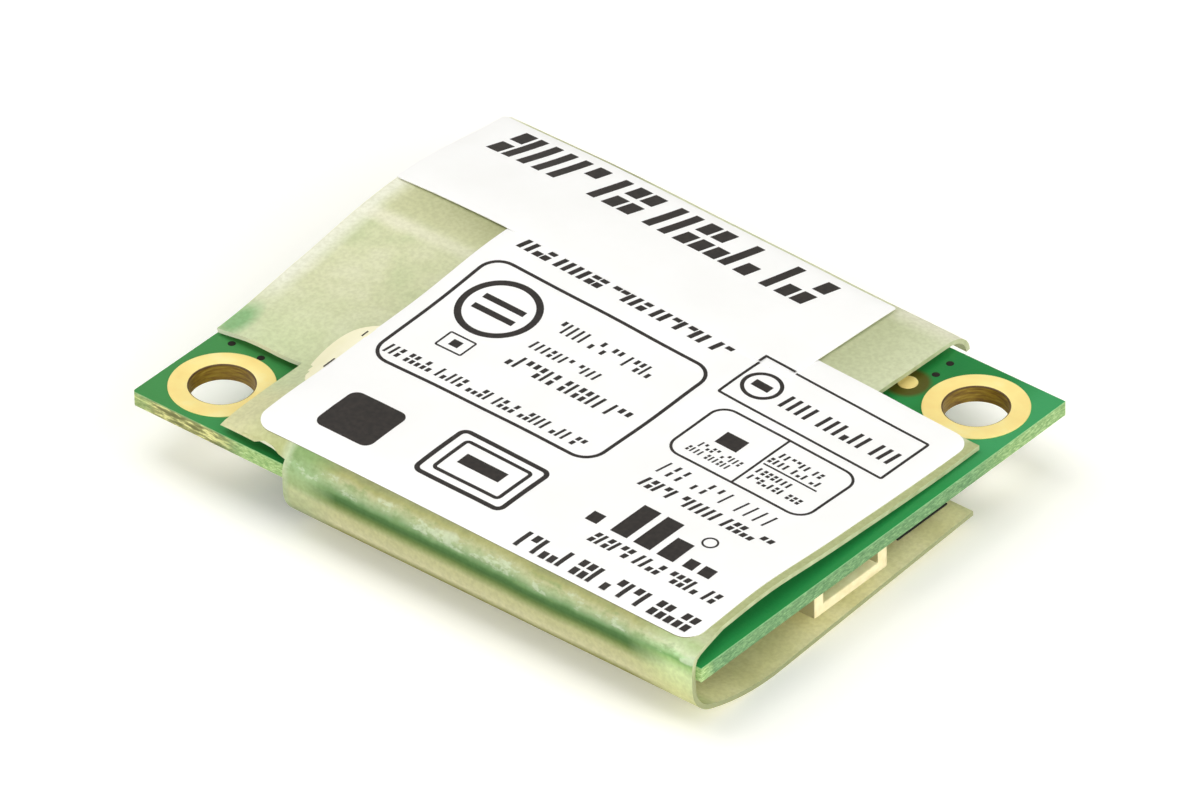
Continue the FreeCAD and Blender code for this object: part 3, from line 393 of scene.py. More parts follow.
def top_sheet_colour(tree, where, x, y):
    """The film over the card: greener near it, cream at its flap, and near white at its free left
    edge, where a glow of light is painted on.
    """
    sheet = ramp(tree, grain(tree, where, 2.6, 3.0, 0.55), (0.3, "DCE4B8"), (0.5, "E8EBC4"),
                 (0.7, "F2F3D4"))
    sheet = tinted(tree, sheet, "DCEABC", back_step(tree, y, 11, 6.5), 0.6)
    # A long spot at the left edge where the film touches the card
    spot = Vector((CARD_LOW.x + 0.5 * MM, (CARD_LOW.y + 7.0 * MM) * 0.6, 0))
    touching = away_from(tree, stretched(tree, where, 1.0, 0.6, 0.0), spot)
    sheet = tinted(tree, sheet, "9CCB90", step(tree, touching, 1.1 * MM, 0.4 * MM))
    # A painted highlight along the crease at the film's left.
    crease = both(tree, band(tree, y, CARD_LOW.y + 16.5 * MM, 0.2 * MM, 0.5 * MM),
                  along_step(tree, x, 9, 7))
    sheet = tinted(tree, sheet, "FCFAE2", crease, 0.8)
    # Painted light: a near-white glow near the film's free left edge.
    glow = both(tree, along_step(tree, x, 1.4, 0.5), back_step(tree, y, 8, 10.5))
    sheet = tinted(tree, sheet, "FFFFF0", glow, 0.9)
    # Faint painted shade beside the labels, from the main label's left edge onwards.
    sheet = tinted(tree, sheet, "CCD2A6", along_step(tree, x, 3.2, 6.8), 0.35)
    flap = both(tree, along_step(tree, x, 9.9, 9.2), back_step(tree, y, 4.2, 2.6))
    flap_colour = mixed(tree, along_step(tree, x, 6.5, 9.2), tone("EAE7B8"), tone("C8CE8C"))
    return mixed(tree, both(tree, flap, 0.85), sheet, flap_colour)


def fold_colour(tree, where, x, z):
    """The fold, with its light and shade painted by height: its stops are millimetres above the
    card's top face. The bright ones at the bottom are a painted highlight along its lower edge,
    and the dark one is painted shade of the slot behind the film along the card's front edge."""
    wander = worked(tree, "MULTIPLY_ADD",
                    grain(tree, stretched(tree, where, 1.0, 0.0, 0.0), 5.0, 2.0),
                    0.36 * MM, -0.18 * MM)
    rough = worked(tree, "MULTIPLY_ADD",
                   grain(tree, stretched(tree, where, 1.0, 0.0, 0.3), 0.9),
                   0.3 * MM, -0.15 * MM)
    lift = worked(tree, "SUBTRACT", z, CARD_HIGH.z)
    # Towards the right the film lies lower, so the heights above the card are stretched there.
    above = worked(tree, "MAXIMUM", lift, 0.0)
    lift = worked(tree, "MULTIPLY_ADD", both(tree, above, 0.33), along_step(tree, x, 22, 33),
                  lift)
    lift = worked(tree, "ADD", lift, wander)
    lift = worked(tree, "MULTIPLY_ADD", rough, step(tree, lift, -0.3 * MM, 0.1 * MM), lift)
    low, high = -3.9, 1.3
    height = step(tree, lift, low * MM, high * MM)

    def painted(*stops):
        """Colours by height, as pairs of millimetres and sRGB hex."""
        return ramp(tree, height, *(((up - low) / (high - low), code) for up, code in stops))
    roll = painted((-3.7, "FFFBE4"), (-3.5, "F8F3D0"), (-3.3, "B4B072"), (-3.0, "A6A45C"),
                   (-2.3, "B0B068"), (-1.8, "FDFAD6"), (-1.05, "E2E2B0"), (-0.75, "A6B474"),
                   (-0.52, "6C8A46"), (-0.3, "4E783C"), (-0.08, "5A864A"), (0.08, "84AA72"),
                   (0.22, "9FB889"), (0.4, "BECE9F"), (0.65, "CCCE9E"), (0.85, "BABA7C"),
                   (1.0, "A4A973"))
    left_end = painted((-3.5, "E8EDBC"), (-3.2, "B8C690"), (-2.3, "BFC99F"), (-1.8, "E0E7BC"),
                       (-1.0, "E6ECBF"), (-0.6, "B9CF94"), (0.3, "AFCE98"), (0.65, "ACC98F"),
                       (1.0, "9ABB78"))
    right_end = painted((-3.6, "F4F4C4"), (-3.2, "D9DCA1"), (-1.8, "F8F9C8"), (-0.6, "EDFCC7"),
                        (-0.1, "BADB94"), (0.15, "86B86C"), (0.4, "C8EBB2"), (0.65, "E6F2C8"),
                        (0.95, "C5DB9E"))
    left_end = tinted(tree, left_end, "D6E4BE", along_step(tree, x, 10.1, 9.7))
    fold = mixed(tree, along_step(tree, x, 11, 13), left_end, roll)
    fold = mixed(tree, along_step(tree, x, 30.8, 33.4), fold, right_end)

    # Patches on the shoulder above the slot, some paler and some darker
    mottle = grain(tree, stretched(tree, where, 0.5), 0.8, 4.0, 0.7)
    pale = both(tree, step(tree, mottle, 0.53, 0.6),
                band(tree, lift, 0.42 * MM, 0.22 * MM, 0.12 * MM))
    fold = tinted(tree, fold, "E4F0D4", pale, 0.6)
    dull = both(tree, step(tree, mottle, 0.48, 0.36),
                band(tree, lift, 0.4 * MM, 0.35 * MM, 0.2 * MM))
    return tinted(tree, fold, "86A868", dull, 0.5)


def back_sheet_tints(tree, colour, x, y, z):
    """Behind the crease the sheet leans away and is painted with olive shade; its tab at the right
    is duller, with a painted highlight where it curls down at the back.
    """
    # Painted shade where the sheet leans away behind the crease.
    olive = both(tree, back_step(tree, y, 16.6, 17.4),
                 band(tree, x, CARD_LOW.x + 5 * MM, 3.4 * MM, 1 * MM))
    deep_leaning_shade = mixed(tree, along_step(tree, x, 1, 6.5), tone("D8DAAC"), tone("A8AB76"))
    leaning_shade = mixed(tree, back_step(tree, y, 17.0, 19.5), tone("DBDDB0"), deep_leaning_shade)
    colour = mixed(tree, both(tree, olive, 0.8), colour, leaning_shade)
    right_tab = both(tree, along_step(tree, x, 24, 25), back_step(tree, y, 20, 21))
    tab = mixed(tree, along_step(tree, x, 24.5, 28.4), tone("C8CFA4"), tone("E4EAC6"))
    colour = mixed(tree, right_tab, colour, tab)
    # A painted highlight where the tab curls down at the back.
    lip = both(tree, right_tab, back_step(tree, y, 26.2, 27.2))
    colour = tinted(tree, colour, "F0F0D8", lip)
    right_rim = both(tree, along_step(tree, x, 33.4, 33.9), back_step(tree, y, 0.9, 2.2))
    right_rim = both(tree, right_rim, step(tree, z, CARD_HIGH.z, CARD_HIGH.z + 0.2 * MM))
    return tinted(tree, colour, "C3CA93", right_rim)


def frosted_film():
    """Frosted polyester sheet. It scatters light, so it looks milky: greener where the card is
    close behind it, straw-coloured where nothing is, and painted dark green as shade where the
    card's front edge leaves a slot behind the fold."""
    material, tree, surface, where = new_material("frosted_polyester", Roughness=0.5, IOR=1.5,
                                                  Specular_IOR_Level=0.3)
    x, y, z = axes(tree, where)
    ahead = both(tree, back_step(tree, y, 1.0, 0.5), along_step(tree, x, 9.3, 9.8))
    colour = mixed(tree, ahead, top_sheet_colour(tree, where, x, y),
                   fold_colour(tree, where, x, z))
    straw = ramp(tree, grain(tree, stretched(tree, where, 0.35), 1.6, 4.0, 0.6),
                 (0.3, "E6E4B8"), (0.5, "EFEDC6"), (0.72, "F6F4D4"))
    tongue = both(tree, step(tree, z, CARD_LOW.z - 0.2 * MM, CARD_LOW.z - 0.6 * MM),
                  back_step(tree, y, 0.6, 1.6))
    colour = back_sheet_tints(tree, mixed(tree, tongue, colour, straw), x, y, z)
    speck = ramp(tree, grain(tree, where, 0.22, 2.0), (0.35, "E4E4DC"), (0.65, "FFFFFF"))
    colour = mixed(tree, 0.5, colour, mixed(tree, 1.0, colour, speck, "MULTIPLY"))
    coloured(tree, surface, colour)
    bumped(tree, surface, grain(tree, where, 0.1, 2.0), 0.01, 0.35)

    through_light = add(tree, "ShaderNodeBsdfTranslucent", {"Color": colour})
    under = step(tree, z, CARD_HIGH.z, CARD_LOW.z - 0.6 * MM)
    passed = worked(tree, "MULTIPLY_ADD", under, 0.32, 0.12)
    body = blended(tree, passed, surface, through_light)
    # Painted light: the tongue glows faintly, most near its free edge, in place of light that
    # enters it from the paper and spreads inside it.
    free_edge = both(tree, tongue, along_step(tree, x, 33.2, 34.4))
    painted_tongue_glow = worked(tree, "MULTIPLY_ADD", tongue, 0.05, both(tree, free_edge, 0.23))
    tree.links.new(colour, surface.inputs["Emission Color"])
    tree.links.new(painted_tongue_glow, surface.inputs["Emission Strength"])
    # Frosted film throws only a faint, straw-coloured shadow.
    shadow = add(tree, "ShaderNodeLightPath").outputs["Is Shadow Ray"]
    clear = add(tree, "ShaderNodeBsdfTransparent", {
        "Color": mixed(tree, shadow, tone("F2F6E4"), tone("ECE4B4"))})
    lets = worked(tree, "MULTIPLY_ADD", tongue, 0.05, 0.08)
    lets = worked(tree, "MAXIMUM", both(tree, shadow, 0.65), lets)
    output = next(item for item in tree.nodes if item.type == "OUTPUT_MATERIAL")
    tree.links.new(blended(tree, lets, body, clear).outputs[0], output.inputs["Surface"])
    return material


def cut_film():
    """The film's cut edges. Light that travels inside the sheet leaves here, so the left ones are
    painted pale with that light; under the card's right end they are painted dark as shade."""
    material, tree, surface, where = new_material("cut_polyester", Roughness=0.45)
    x, _, z = axes(tree, where)
    colour = ramp(tree, grain(tree, where, 0.7), (0.3, "B3BA8C"), (0.7, "CFD5AC"))
    colour = tinted(tree, colour, "F0F2DA", along_step(tree, x, 11, 9), 0.85)
    under_right = both(tree, along_step(tree, x, 30, 31),
                       step(tree, z, CARD_HIGH.z, CARD_LOW.z))
    colour = tinted(tree, colour, "959A6C", under_right, 0.85)
    coloured(tree, surface, colour)
    bumped(tree, surface, grain(tree, where, 0.1, 2.0), 0.01, 0.3)
    return material


def cut_paper():
    """The label's cut edge. The front one lies in its own shade, so it is drawn olive."""
    material, tree, surface, where = new_material("cut_label_paper", Roughness=0.7)
    fibres = ramp(tree, grain(tree, where, 0.3), (0.3, "F2F1EC"), (0.7, "FBFAF6"))
    colour = tinted(tree, fibres, "8E8A6A", step(tree, facing(tree)[1], -0.35, -0.75))
    coloured(tree, surface, colour)
    return material


def thermal_ink():
    """Warm black thermal print, slightly uneven over the paper's grain."""
    material, tree, surface, where = new_material("thermal_print", Roughness=0.5)
    colour = ramp(tree, grain(tree, where, 0.25, 4.0), (0.35, "1A1511"), (0.7, "2C2520"))
    coloured(tree, surface, colour)
    return material


def fine_skin(name, size, stops, skin, depth, strength, **shader):
    """Close tones in a soft grain, roughened by a finer one."""
    material, tree, surface, where = new_material(name, **shader)
    coloured(tree, surface, ramp(tree, grain(tree, where, size), *stops))
    bumped(tree, surface, grain(tree, where, *skin), depth, strength)
    return material


def moulded(name, dark, pale, roughness, cell, depth=0.008, shade=None):
    """A moulded or fired surface: two close tones in a fine grain that also roughens it. A
    shade colour, where given, is painted on the side that faces the front as painted shade."""
    material, tree, surface, where = new_material(name, Roughness=roughness)
    fine = grain(tree, where, cell, 4.0, 0.6)
    colour = ramp(tree, fine, (0.3, dark), (0.7, pale))
    if shade:
        colour = tinted(tree, colour, shade, step(tree, facing(tree)[1], -0.6, -0.9))
    coloured(tree, surface, colour)
    bumped(tree, surface, fine, depth, 0.6)
    return material


def soldered_tin():
    """Bright tin over copper, with the soft ripples of reflowed solder."""
    material, tree, surface, where = new_material("reflowed_tin", Metallic=0.9, Roughness=0.34)
    ripples = grain(tree, where, 0.3)
    coloured(tree, surface, ramp(tree, ripples, (0.3, "A9A8A3"), (0.7, "DAD9D4")))
    bumped(tree, surface, ripples, 0.02, 0.5)
    return material


MATERIALS = {
    "card": fr4_card(),
    # Immersion gold on copper, fine matt, so it shows a flat pale peach yellow.
    "gold": fine_skin("immersion_gold", 1.6, ((0.3, "FCE18C"), (0.55, "FFEA96"), (0.75, "FFF2AC")),
                      (0.08, 2.0), 0.006, 0.6, Metallic=0.12, Roughness=0.5),
    "barrel": barrel_gold(),
    "film": frosted_film(),
    "film_rim": cut_film(),
    # Coated label paper, clean white with a very faint satin.
    "paper": fine_skin("coated_label_paper", 3.0, ((0.3, "F9F9F7"), (0.7, "FDFDFC")),
                       (0.2, 3.0), 0.004, 0.4, Roughness=0.55),
    "paper_rim": cut_paper(),
    "ink": thermal_ink(),
    # Cream vinyl seal, smooth, with faint yellower clouds.
    "sticker": fine_skin("cream_vinyl", 2.0, ((0.3, "F4EFC8"), (0.7, "FDF9DC")),
                         (0.4, 2.0), 0.01, 0.4, Roughness=0.4),
    # Natural nylon of line headers: warm cream, with olive shade painted on the side that faces
    # the folded film.
    "nylon": moulded("natural_nylon", "F2E3AE", "FFF3C6", 0.42, 0.5, shade="A0976A"),
    # Glass-filled polymer of the board socket: near black and dry.
    "socket": moulded("glass_filled_polymer", "17171A", "2A2A2C", 0.5, 0.15),
    # Epoxy mould compound: charcoal with a sandy spark-eroded skin.
    "epoxy": moulded("epoxy_mould_compound", "1C1C1E", "303033", 0.58, 0.12, 0.012),
    # The same compound beneath the card's edge, where the photo shows it near black.
    # Its near black is painted shade.
    "shaded_epoxy": moulded("shaded_epoxy_compound", "080706", "14110C", 0.8, 0.12),
    "tin": soldered_tin(),
    # Barium titanate ceramic: tan and smooth.
    "tan_ceramic": moulded("fired_tan_ceramic", "9C7B58", "B8946C", 0.4, 0.3),
    # Ferrite and resistor bodies: nearly black, fired smooth.
    "grey_ceramic": moulded("fired_grey_ceramic", "232427", "3A3B3E", 0.45, 0.2),
    # Fuse body: clean white, fired smooth.
    "white_ceramic": moulded("fired_white_ceramic", "E6E4DC", "F4F2EC", 0.45, 0.3),
    # Tantalum capacitors are cast in mustard resin.
    "resin": moulded("mustard_resin", "C98F2A", "E0AC44", 0.45, 0.3),
    # Open vias let no light back out, so they show as dry black spots.
    "via": moulded("open_via", "080604", "1E1608", 0.9, 0.1),
}


# Building pieces


def in_scene(name, data):
    """An object in the scene that shows a mesh, a lamp or a camera."""
    item = bpy.data.objects.new(name, data)
    bpy.context.scene.collection.objects.link(item)
    return item


def finish(name, mesh, material, slot, *nodes):
    """Put a finished mesh in the scene as a piece that stands for CAD nodes."""
    piece = in_scene(name, mesh)
    mesh.materials.append(MATERIALS[material])
    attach(piece, "root")
    if nodes:
        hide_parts(*nodes)
    return piece


def to_mesh(shape, name, sharp=35.0):
    """Turn a bmesh into a mesh with smooth faces and sharp corners."""
    for face in shape.faces:
        face.smooth = True
    mesh = bpy.data.meshes.new(name)
    shape.to_mesh(mesh)
    shape.free()
    mesh.set_sharp_from_angle(angle=math.radians(sharp))
    return mesh


def dressed(node, material, bevel):
    """A copy of a CAD node with its flat faces joined and its edges broken."""
    shape = bmesh.new()
    shape.from_mesh(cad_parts[node].data)
    bmesh.ops.remove_doubles(shape, verts=shape.verts, dist=0.0005 * MM)
    bmesh.ops.dissolve_limit(shape, angle_limit=math.radians(1.0), verts=shape.verts,
                             edges=shape.edges)
    corners = [edge for edge in shape.edges
               if len(edge.link_faces) == 2 and edge.calc_face_angle() > math.radians(40)]
    bmesh.ops.bevel(shape, geom=corners, offset=bevel * MM, offset_type="OFFSET", segments=2,
                    profile=0.5, affect="EDGES", clamp_overlap=True, material=-1)
    bmesh.ops.recalc_face_normals(shape, faces=shape.faces)
    finish(node + "_dressed", to_mesh(shape, node), material, SLOTS[material], node)


def cut_grid(shape, low, high, cell):
    """Cut flat faces along a square grid so that they can bend."""
    for axis, (start, end) in enumerate(zip(low, high)):
        normal = (1, 0, 0) if axis == 0 else (0, 1, 0)
        lines = int((end - start) / cell)
        for i in range(1, lines + 1):
            spot = start + i * cell
            bmesh.ops.bisect_plane(shape, geom=shape.verts[:] + shape.edges[:] + shape.faces[:],
                                   plane_co=(spot if axis == 0 else 0, spot if axis else 0, 0),
                                   plane_no=normal, dist=1e-7)


def rounded_sheet(shape, left, front, length, width, corner):
    """A flat rectangle with round corners, in millimetres."""
    verts = block(shape, left, front, length, width).verts[:]
    bmesh.ops.bevel(shape, geom=verts, offset=corner, offset_type="OFFSET", segments=8,
                    profile=0.5, affect="VERTICES", material=-1)


def round_sheet(shape, along, back, radius, segments=72):
    """A flat round sheet, in millimetres."""
    return bmesh.ops.create_circle(shape, cap_ends=True, segments=segments, radius=radius,
                                   matrix=Matrix.Translation((along, back, 0)))["verts"]


def block(shape, left, front, length, width, lean=0.0):
    """A flat bar. A lean moves its far side along, as in slanted print."""
    return shape.faces.new([shape.verts.new((x, y, 0)) for x, y in (
        (left, front), (left + length, front), (left + length + lean, front + width),
        (left + lean, front + width))])


def laid(draws, lift, cell):
    """A flat shape, drawn in millimetres on the card, cut to a grid and laid over the film."""
    shape = bmesh.new()
    for draw, *specs in draws:
        draw(shape, *specs)
    xs = [vert.co.x for vert in shape.verts]
    ys = [vert.co.y for vert in shape.verts]
    cut_grid(shape, (min(xs), min(ys)), (max(xs), max(ys)), cell)
    for vert in shape.verts:
        along, back = vert.co.x, vert.co.y
        vert.co = place(along, back, film_height(along, back) + lift + vert.co.z)
    shape.normal_update()
    bmesh.ops.recalc_face_normals(shape, faces=shape.faces)
    return shape


def laid_sheet(name, outline, lift, thick, material, slot, node, cell=LABEL_CELL):
    """A label or the seal, with its thickness and its pressed edge."""
    shape = laid([outline], lift, cell)
    if sum(face.normal.z for face in shape.faces) < 0:
        bmesh.ops.reverse_faces(shape, faces=shape.faces)
    thickened(shape, thick * MM, PRESSED)
    piece = finish(name, to_mesh(shape, name), material, slot, node)
    piece.data.materials.append(MATERIALS["paper_rim" if node == "main_label" else material])


def thickened(shape, thick, rim=1.0):
    """Give an open sheet its thickness on the side that its faces point to. A rim under one
    leaves its edge thinner, as pressed down. The edge's faces take the second material."""
    moved = {vert: vert.co + vert.normal * thick * (rim if vert.is_boundary else 1.0)
             for vert in shape.verts}
    base = shape.faces[:]
    pairs = bmesh.ops.duplicate(shape, geom=shape.verts[:] + shape.edges[:] + base)["vert_map"]
    for vert, spot in moved.items():
        pairs[vert].co = spot
    for edge in [edge for edge in shape.edges if edge.is_boundary and edge.verts[0] in moved]:
        one, two = edge.verts
        loop = edge.link_loops[0]
        if loop.vert is not one:
            one, two = two, one
        shape.faces.new((two, one, pairs[one], pairs[two])).material_index = 1
    for face in base:
        face.normal_flip()


# Card and its plating


def plating_ring(name, node):
    """One gold ring on each face and the barrel between them, spun round the screw hole."""
    low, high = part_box(node)
    centre = (low + high) / 2
    rim = (high.x - low.x) / 2
    bore = 1.6 * MM
    wall = 0.05 * MM
    soft = 0.02 * MM
    lip = 0.06 * MM
    top, face = high.z, CARD_HIGH.z
    foot, bottom = low.z, CARD_LOW.z
    section = [(bore + soft, foot), (rim - soft, foot), (rim, foot + soft), (rim, bottom),
               (bore + wall, bottom), (bore + wall, face), (rim, face), (rim, top - soft),
               (rim - soft, top), (bore + lip, top), (bore, top - 0.5 * lip), (bore, foot + soft)]
    shape = bmesh.new()
    verts = [shape.verts.new((centre.x + radius, centre.y, z)) for radius, z in section]
    edges = [shape.edges.new((verts[i], verts[(i + 1) % len(verts)])) for i in range(len(verts))]
    bmesh.ops.spin(shape, geom=verts + edges, cent=centre, axis=(0, 0, 1), angle=2 * math.pi,
                   steps=96, use_merge=True)
    bmesh.ops.recalc_face_normals(shape, faces=shape.faces)
    piece = finish(name, to_mesh(shape, name), "gold", "gold_plate", node)
    piece.data.materials.append(MATERIALS["barrel"])
    for face in piece.data.polygons:
        near = math.hypot(face.center.x - centre.x, face.center.y - centre.y) < bore + 0.6 * lip
        face.material_index = 1 if near else 0


def disc(shape, along, back, radius, up, thick):
    """A thin round pad whose underside is at a height above the card's top face."""
    bmesh.ops.create_cone(
        shape, cap_ends=True, segments=40, radius1=radius * MM, radius2=(radius - 0.02) * MM,
        depth=thick * MM, matrix=Matrix.Translation(place(along, back, up + thick / 2)))


def card_pieces():
    """The card in its own mesh, the two screw rings, the dots and the vias."""
    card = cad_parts["circuit_board"]
    card.data.materials.clear()
    card.data.materials.append(MATERIALS["card"])
    plating_ring("left_screw_ring", "left_hole_plating")
    plating_ring("right_screw_ring", "right_hole_plating")
    shape = bmesh.new()
    disc(shape, *ALIGNMENT_DOT, DOT_RADIUS, 0, PAD_THICK)
    for along, back in UNDER_DOTS:
        disc(shape, along, back, DOT_RADIUS, -CARD_THICK - PAD_THICK, PAD_THICK)
    finish("alignment_dots", to_mesh(shape, "alignment_dots"), "gold", "gold_plate",
           "fiducial_dots")
    vias = bmesh.new()
    for along, back in VIAS:
        disc(vias, along, back, VIA_RADIUS, 0, VIA_THICK)
    finish("open_vias", to_mesh(vias, "open_vias"), "via", "gold_plate")


# Film


def spaced(start, end, pitch):
    """Evenly spaced places after the start, up to the end."""
    count = max(1, round((end - start) / pitch))
    return [start + (end - start) * i / count for i in range(1, count + 1)]


def film_rows():
    """The film's inner line from the tongue's end to the turned-down back, as stretch, back and
    up. The top stretch gets its height later, from film_height."""
    rows = []
    tongue_rows = 26
    for i in range(tongue_rows):
        back = UNDER_REACH + (FOLD_REACH - UNDER_REACH) * i / tongue_rows
        rise = UNDER_RISE * (back - FOLD_REACH) / (UNDER_REACH - FOLD_REACH)
        rows.append(("roll", back, -CARD_THICK - UNDER_DEPTH + rise))
    turn = math.radians(FOLD_TURN)
    run, fall = FOLD_REACH + FILM_GAP, UNDER_DEPTH - FOLD_START
    one, other, rest = 1 - math.cos(turn), math.cos(turn), 1 - math.sin(turn)
    scale = one * rest - other * math.sin(turn)
    tight = (run * rest - fall * other) / scale
    wide = (fall * one - run * math.sin(turn)) / scale
    for i in range(6):
        angle = math.radians((90 - FOLD_TURN) * i / 6)
        rows.append(("roll", FOLD_REACH - wide * math.sin(angle),
                     -CARD_THICK - UNDER_DEPTH + wide * (1 - math.cos(angle))))
    for i in range(15):
        angle = turn * (1 - i / 15)
        rows.append(("roll", tight * (1 - math.cos(angle)) - FILM_GAP,
                     -CARD_THICK - FOLD_START - tight * math.sin(angle)))
    for i in range(6):
        share = i / 6
        rows.append(("roll", -FILM_GAP,
                     (1 - share) * (-CARD_THICK - FOLD_START) - share * CORNER_DROP))
    for i in range(7):
        angle = math.radians(SEAM_LEAN + (90 - SEAM_LEAN) * (1 - i / 7))
        rows.append(("roll", CORNER_RADIUS * (1 - math.sin(angle)) - FILM_GAP,
                     CORNER_RADIUS * math.cos(angle) - CORNER_DROP))
    near = [FILM_LIP, 0.2, 0.3, 0.4, 0.5, 0.7, 0.95, 1.25, 1.6, 2.0, FOLD_RUN]
    far = spaced(FOLD_RUN, EAR_BACK, ROW_PITCH) + spaced(EAR_BACK, DEPTHS[-1], ROW_PITCH)
    rows += [("top", back, None) for back in near + far]
    rows += [("top", DEPTHS[-1] + BACK_RUN * math.sin(math.radians(angle)), None)
             for angle in (15, 30, 45, 60, 72, 82, 90)]
    return rows


def film_columns():
    """Places along the film where it is cut, with even steps between them."""
    cuts = [FILM_LEFT, NOTCH[0], FOLD_LEFT, TAB_RIGHT, FILM_RIGHT, FOLD_RIGHT]
    columns = [cuts[0]]
    for start, end in zip(cuts, cuts[1:]):
        columns += spaced(start, end, COLUMN_PITCH)
    return columns


def film_keeps(stretch, along, back):
    """Whether the film is there: the fold is narrower, and the ears have cut-outs."""
    if stretch == "roll":
        return along > FOLD_LEFT
    if along > FILM_RIGHT:
        return back < FOLD_RUN
    in_notch = along < NOTCH[0] and back < NOTCH[1]
    in_ear = along > TAB_RIGHT and back > EAR_BACK
    return not in_notch and not in_ear


def film_piece():
    """The folded film: a grid of rows and columns, cut to its plan, bent and thickened."""
    rows, columns = film_rows(), film_columns()
    shape = bmesh.new()
    bmesh.ops.create_grid(shape, x_segments=len(columns) - 1, y_segments=len(rows) - 1, size=0.5)
    verts = {vert: (round((vert.co.x + 0.5) * (len(columns) - 1)),
                    round((vert.co.y + 0.5) * (len(rows) - 1))) for vert in shape.verts}
    waste = []
    for face in shape.faces:
        spots = [verts[vert] for vert in face.verts]
        i, j = min(spot[0] for spot in spots), min(spot[1] for spot in spots)
        along = (columns[i] + columns[i + 1]) / 2
        back = (rows[j][1] + rows[j + 1][1]) / 2
        if not film_keeps(rows[j][0], along, back):
            waste.append(face)
    for vert, (i, j) in verts.items():
        stretch, back, up = rows[j]
        along = columns[i]
        if stretch == "top" and along > FILM_RIGHT:
            along -= (FOLD_RIGHT - FILM_RIGHT) * min(1, back / FOLD_RUN)
        droop = 0.0
        if along < FOLD_LEFT and stretch == "top":
            edge = FILM_LIP + FLAP_SLANT * (FOLD_LEFT - along)
            near = min(1, max(0, (edge + FLAP_REACH - back) / FLAP_REACH))
            droop = min(1, FOLD_LEFT - along) * near
            back = max(back, edge) - FLAP_TUCK * droop
        if along == NOTCH[0] and stretch == "top" and back < NOTCH[1] + NOTCH_SLACK:
            along += NOTCH_FLARE * back / NOTCH[1]
        if stretch == "top":
            up = film_height(along, back)
            up += (FLAP_EDGE - FLAP_FALL * (FOLD_LEFT - along) ** 2 - up) * droop ** 2
            if j == len(rows) - 1:
                up = film_height(along, DEPTHS[-1]) - BACK_DROP
        vert.co = place(along, back, up)
    bmesh.ops.delete(shape, geom=waste, context="FACES")
    bmesh.ops.recalc_face_normals(shape, faces=shape.faces)
    highest = max(shape.faces, key=lambda face: face.calc_center_median().z)
    if highest.normal.z < 0:
        bmesh.ops.reverse_faces(shape, faces=shape.faces)
    thickened(shape, FILM_THICK * MM)
    piece = finish("folded_film", to_mesh(shape, "folded_film", 50), "film", "frosted_film",
                   "insulating_film")
    piece.data.materials.append(MATERIALS["film_rim"])


# Labels and their print


def label_pieces():
    """The main label, the strip label over it and the cream seal partly under it."""
    laid_sheet("main_label_sheet", (rounded_sheet, *LABEL), FILM_THICK, LABEL_THICK, "paper",
               "label_paper", "main_label")
    laid_sheet("strip_label_sheet", (rounded_sheet, *STRIP), FILM_THICK + LABEL_THICK,
               LABEL_THICK, "paper", "label_paper", "strip_label")
    laid_sheet("cream_seal", (round_sheet, *STICKER), FILM_THICK, STICKER_THICK, "sticker",
               "sticker_paper", "round_sticker", PRINT_CELL)


def frames(shape, specs):
    """Printed frames, each as left, front, length, width, corner radius and line width."""
    for left, front, length, width, corner, line in specs:
        known = set(shape.faces)
        rounded_sheet(shape, left, front, length, width, corner)
        fresh = [face for face in shape.faces if face not in known]
        bmesh.ops.inset_region(shape, faces=fresh, thickness=line, use_boundary=True,
                               use_even_offset=True)
        bmesh.ops.delete(shape, geom=fresh, context="FACES_ONLY")


def rings(shape, specs):
    """Printed rings, each as along, back, radius and line width."""
    for along, back, radius, line in specs:
        face = round_sheet(shape, along, back, radius, 56)[0].link_faces[0]
        bmesh.ops.inset_region(shape, faces=[face], thickness=line, use_boundary=True)
        bmesh.ops.delete(shape, geom=[face], context="FACES_ONLY")


def blocks(shape, specs):
    """Printed blocks, each as left, front, length and width."""
    for spec in specs:
        block(shape, *spec)


def print_rows(shape, specs, seed):
    """Rows of plain bars where the label has print, each row as left, front, length, height,
    stem width, pitch and lean. Some bars are whole, some halved and some short."""
    pick = random.Random(seed)
    part = 0.42
    for left, front, length, height, stem, pitch, lean in specs:
        spot, until_gap = left, pick.randint(3, 7)
        while spot + stem <= left + length:
            kind = pick.choice(("whole", "whole", "whole", "halved", "halved", "low", "high"))
            if kind == "whole":
                block(shape, spot, front, stem, height, lean)
            if kind in ("halved", "low"):
                block(shape, spot, front, stem * 1.5, height * part, lean * part)
            if kind in ("halved", "high"):
                block(shape, spot + lean * (1 - part), front + height - height * part,
                      stem * 1.5, height * part, lean * part)
            spot += pitch
            until_gap -= 1
            if not until_gap:
                spot += pitch * 0.7
                until_gap = pick.randint(3, 7)


def laid_print(name, lift, *draws):
    """Print laid on a label and given the height of its ink."""
    shape = laid(draws, lift, PRINT_CELL)
    flip = [face for face in shape.faces if face.normal.z < 0]
    bmesh.ops.reverse_faces(shape, faces=flip)
    thickened(shape, INK_LIFT * MM)
    finish(name, to_mesh(shape, name), "ink", "label_paper")


